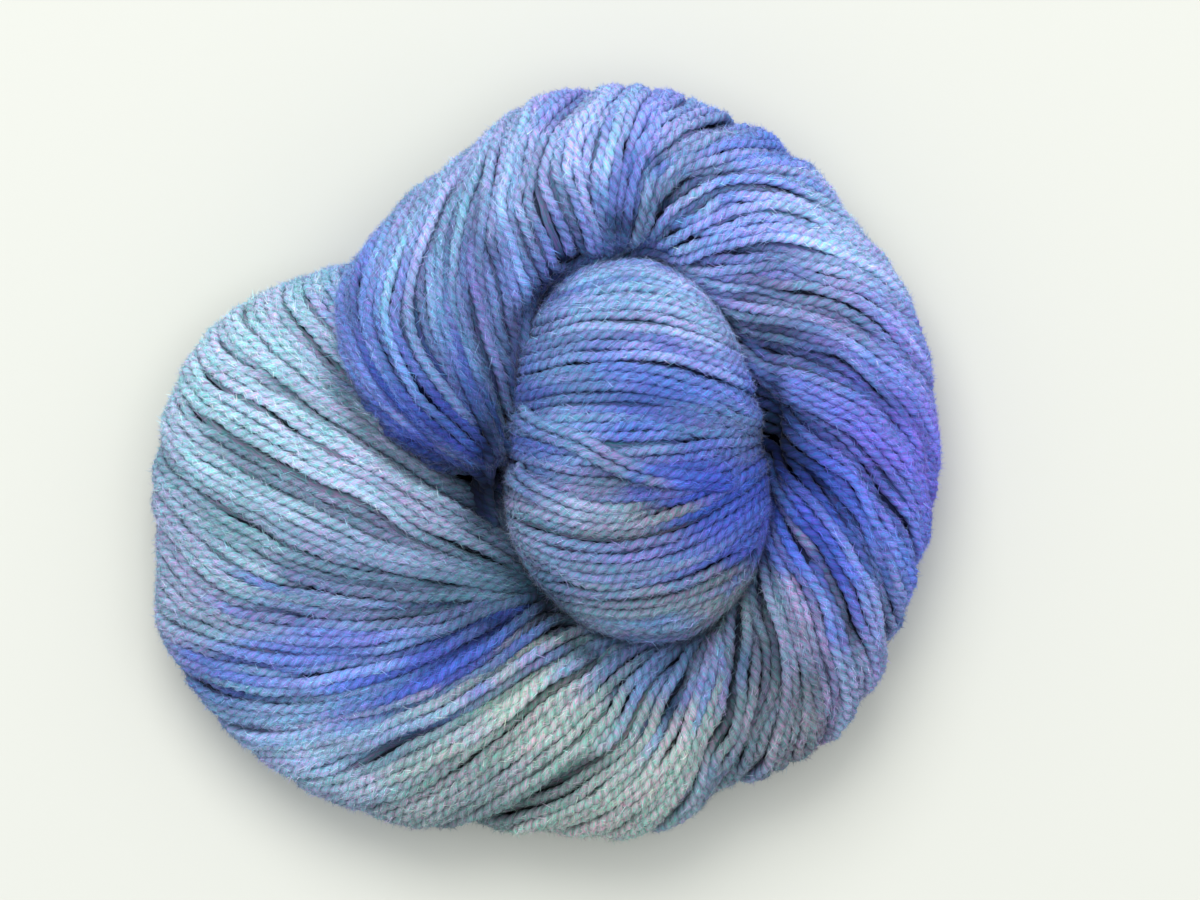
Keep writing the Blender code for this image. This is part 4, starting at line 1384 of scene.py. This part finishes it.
def core(material):
    """The inside of the bundle and of the bun, under the strands: a sheet painted dark as shade."""
    rows = np.linspace(0, len(FLOW) - 1, 150)
    strand = np.repeat(rows[:, None], A_STEPS + B_STEPS + C_STEPS, axis=1)
    turn, angle, share = (values[:, ::2] for values in pass_at(strand))
    strand = strand[:, ::2]
    surface, out = coil_point(turn, angle), coil_normal(turn, angle)
    points = surface - out * (4.2 + 1.15 * hollow_depth(strand, surface, share))[..., None]
    points[..., 2] = np.maximum(points[..., 2], 1.6)
    n, m = strand.shape
    i, j = np.meshgrid(np.arange(n - 1), np.arange(m - 1), indexing="ij")
    quads = np.stack([i * m + j, (i + 1) * m + j, (i + 1) * m + j + 1, i * m + j + 1], axis=-1)
    quads = quads[(strand[1:, 1:] > 3.4) | (j >= A_STEPS // 2 - 1)]  # the crossing lobe starts on the lobe under it
    verts = points.reshape(-1, 3)
    # The bun's inside.
    u, v = 72, 22
    a, b = np.meshgrid(np.linspace(0, 2 * np.pi, u, endpoint=False), np.linspace(0.02, np.pi / 2 + 0.6, v), indexing="ij")
    rim = rim_at(np.cos(a), np.sin(a)) - 3.2
    flat = np.abs(np.sin(b)) ** (2 / BUN_ROUND)
    up = np.sign(np.cos(b)) * np.abs(np.cos(b)) ** (2 / BUN_ROUND)
    height = BUN_WIDEST + np.where(up > 0, (BUN_TOP - 3.4 - BUN_WIDEST) * up, (BUN_WIDEST - BUN_LOW) * up)
    dome = np.stack([rim * flat * np.cos(a), rim * flat * np.sin(a), height], axis=-1).reshape(-1, 3)
    i, j = np.meshgrid(np.arange(u), np.arange(v - 1), indexing="ij")
    k = (i + 1) % u
    more = np.stack([i * v + j, k * v + j, k * v + j + 1, i * v + j + 1], axis=-1).reshape(-1, 4)[:, ::-1]
    quads = np.concatenate([quads, more + len(verts)])
    # Painted shade: the dye of the strands above it, darkened to 0.12, and darker still where little light reaches.
    along = np.concatenate([unit(np.gradient(points, axis=1)).reshape(-1, 3), np.tile([1.0, 0.0, 0.0], (len(dome), 1))])
    verts = np.concatenate([verts, dome])
    dye = 0.12 * dye_at(verts, along, np.zeros((len(verts), 2))) * light_at(verts)[:, None] ** 1.5
    verts = verts + CENTRE
    mesh = bpy.data.meshes.new("inside_of_bundle")
    mesh.from_pydata((verts * MM).tolist(), [], quads.tolist())
    mesh.validate()
    mesh.polygons.foreach_set("use_smooth", np.full(len(mesh.polygons), True))
    attribute = mesh.color_attributes.new("dye", "FLOAT_COLOR", "POINT")
    attribute.data.foreach_set("color", np.concatenate([dye, np.ones((len(dye), 1))], axis=1).astype(np.float32).ravel())
    mesh.materials.append(material)
    piece = bpy.data.objects.new("inside_of_bundle", mesh)
    bpy.context.scene.collection.objects.link(piece)
    return piece


def surroundings():
    """Floor, light and camera."""
    mesh = bpy.data.meshes.new("floor")
    r = 6.0
    mesh.from_pydata([(-r, -r, 0), (r, -r, 0), (r, r, 0), (-r, r, 0)], [], [(0, 1, 2, 3)])
    mesh.materials.append(floor_material())
    floor = bpy.data.objects.new("floor", mesh)
    bpy.context.scene.collection.objects.link(floor)

    def area(name, place, aim, size, power, colour):
        lamp = bpy.data.lights.new(name, "AREA")
        lamp.shape = "DISK"
        lamp.size = size
        lamp.energy = power
        lamp.color = colour
        obj = bpy.data.objects.new(name, lamp)
        obj.location = place
        way = np.array(aim) - np.array(place)
        obj.rotation_euler = (
            math.atan2(math.hypot(way[0], way[1]), -way[2]),
            0,
            math.atan2(way[1], way[0]) - math.pi / 2,
        )
        bpy.context.scene.collection.objects.link(obj)

    area("key", (-0.25, 0.9, 1.45), (0, 0, 0.02), 1.1, 16.5, (1.0, 0.985, 0.96))
    area("overhead", (0.1, 0.3, 2.2), (0, 0, 0.02), 2.4, 26.0, (1.0, 0.99, 0.98))
    world = bpy.data.worlds.new("studio")
    bpy.context.scene.world = world
    world.use_nodes = True
    world.node_tree.nodes["Background"].inputs["Color"].default_value = (0.93, 0.96, 1.0, 1)
    world.node_tree.nodes["Background"].inputs["Strength"].default_value = 0.72

    camera_data = bpy.data.cameras.new("camera")
    camera = bpy.data.objects.new("camera", camera_data)
    distance = 1.6
    camera_data.sensor_width = 36.0
    camera_data.lens = 36.0 * distance / 0.225
    camera_data.clip_start, camera_data.clip_end = 0.05, 20.0
    camera.location = (0.0103, 0.002385, 0.017 + distance)
    camera.rotation_euler = (0, 0, 0)
    bpy.context.scene.collection.objects.link(camera)
    bpy.context.scene.camera = camera
    bpy.context.scene.view_settings.view_transform = "Standard"


main()
surroundings()
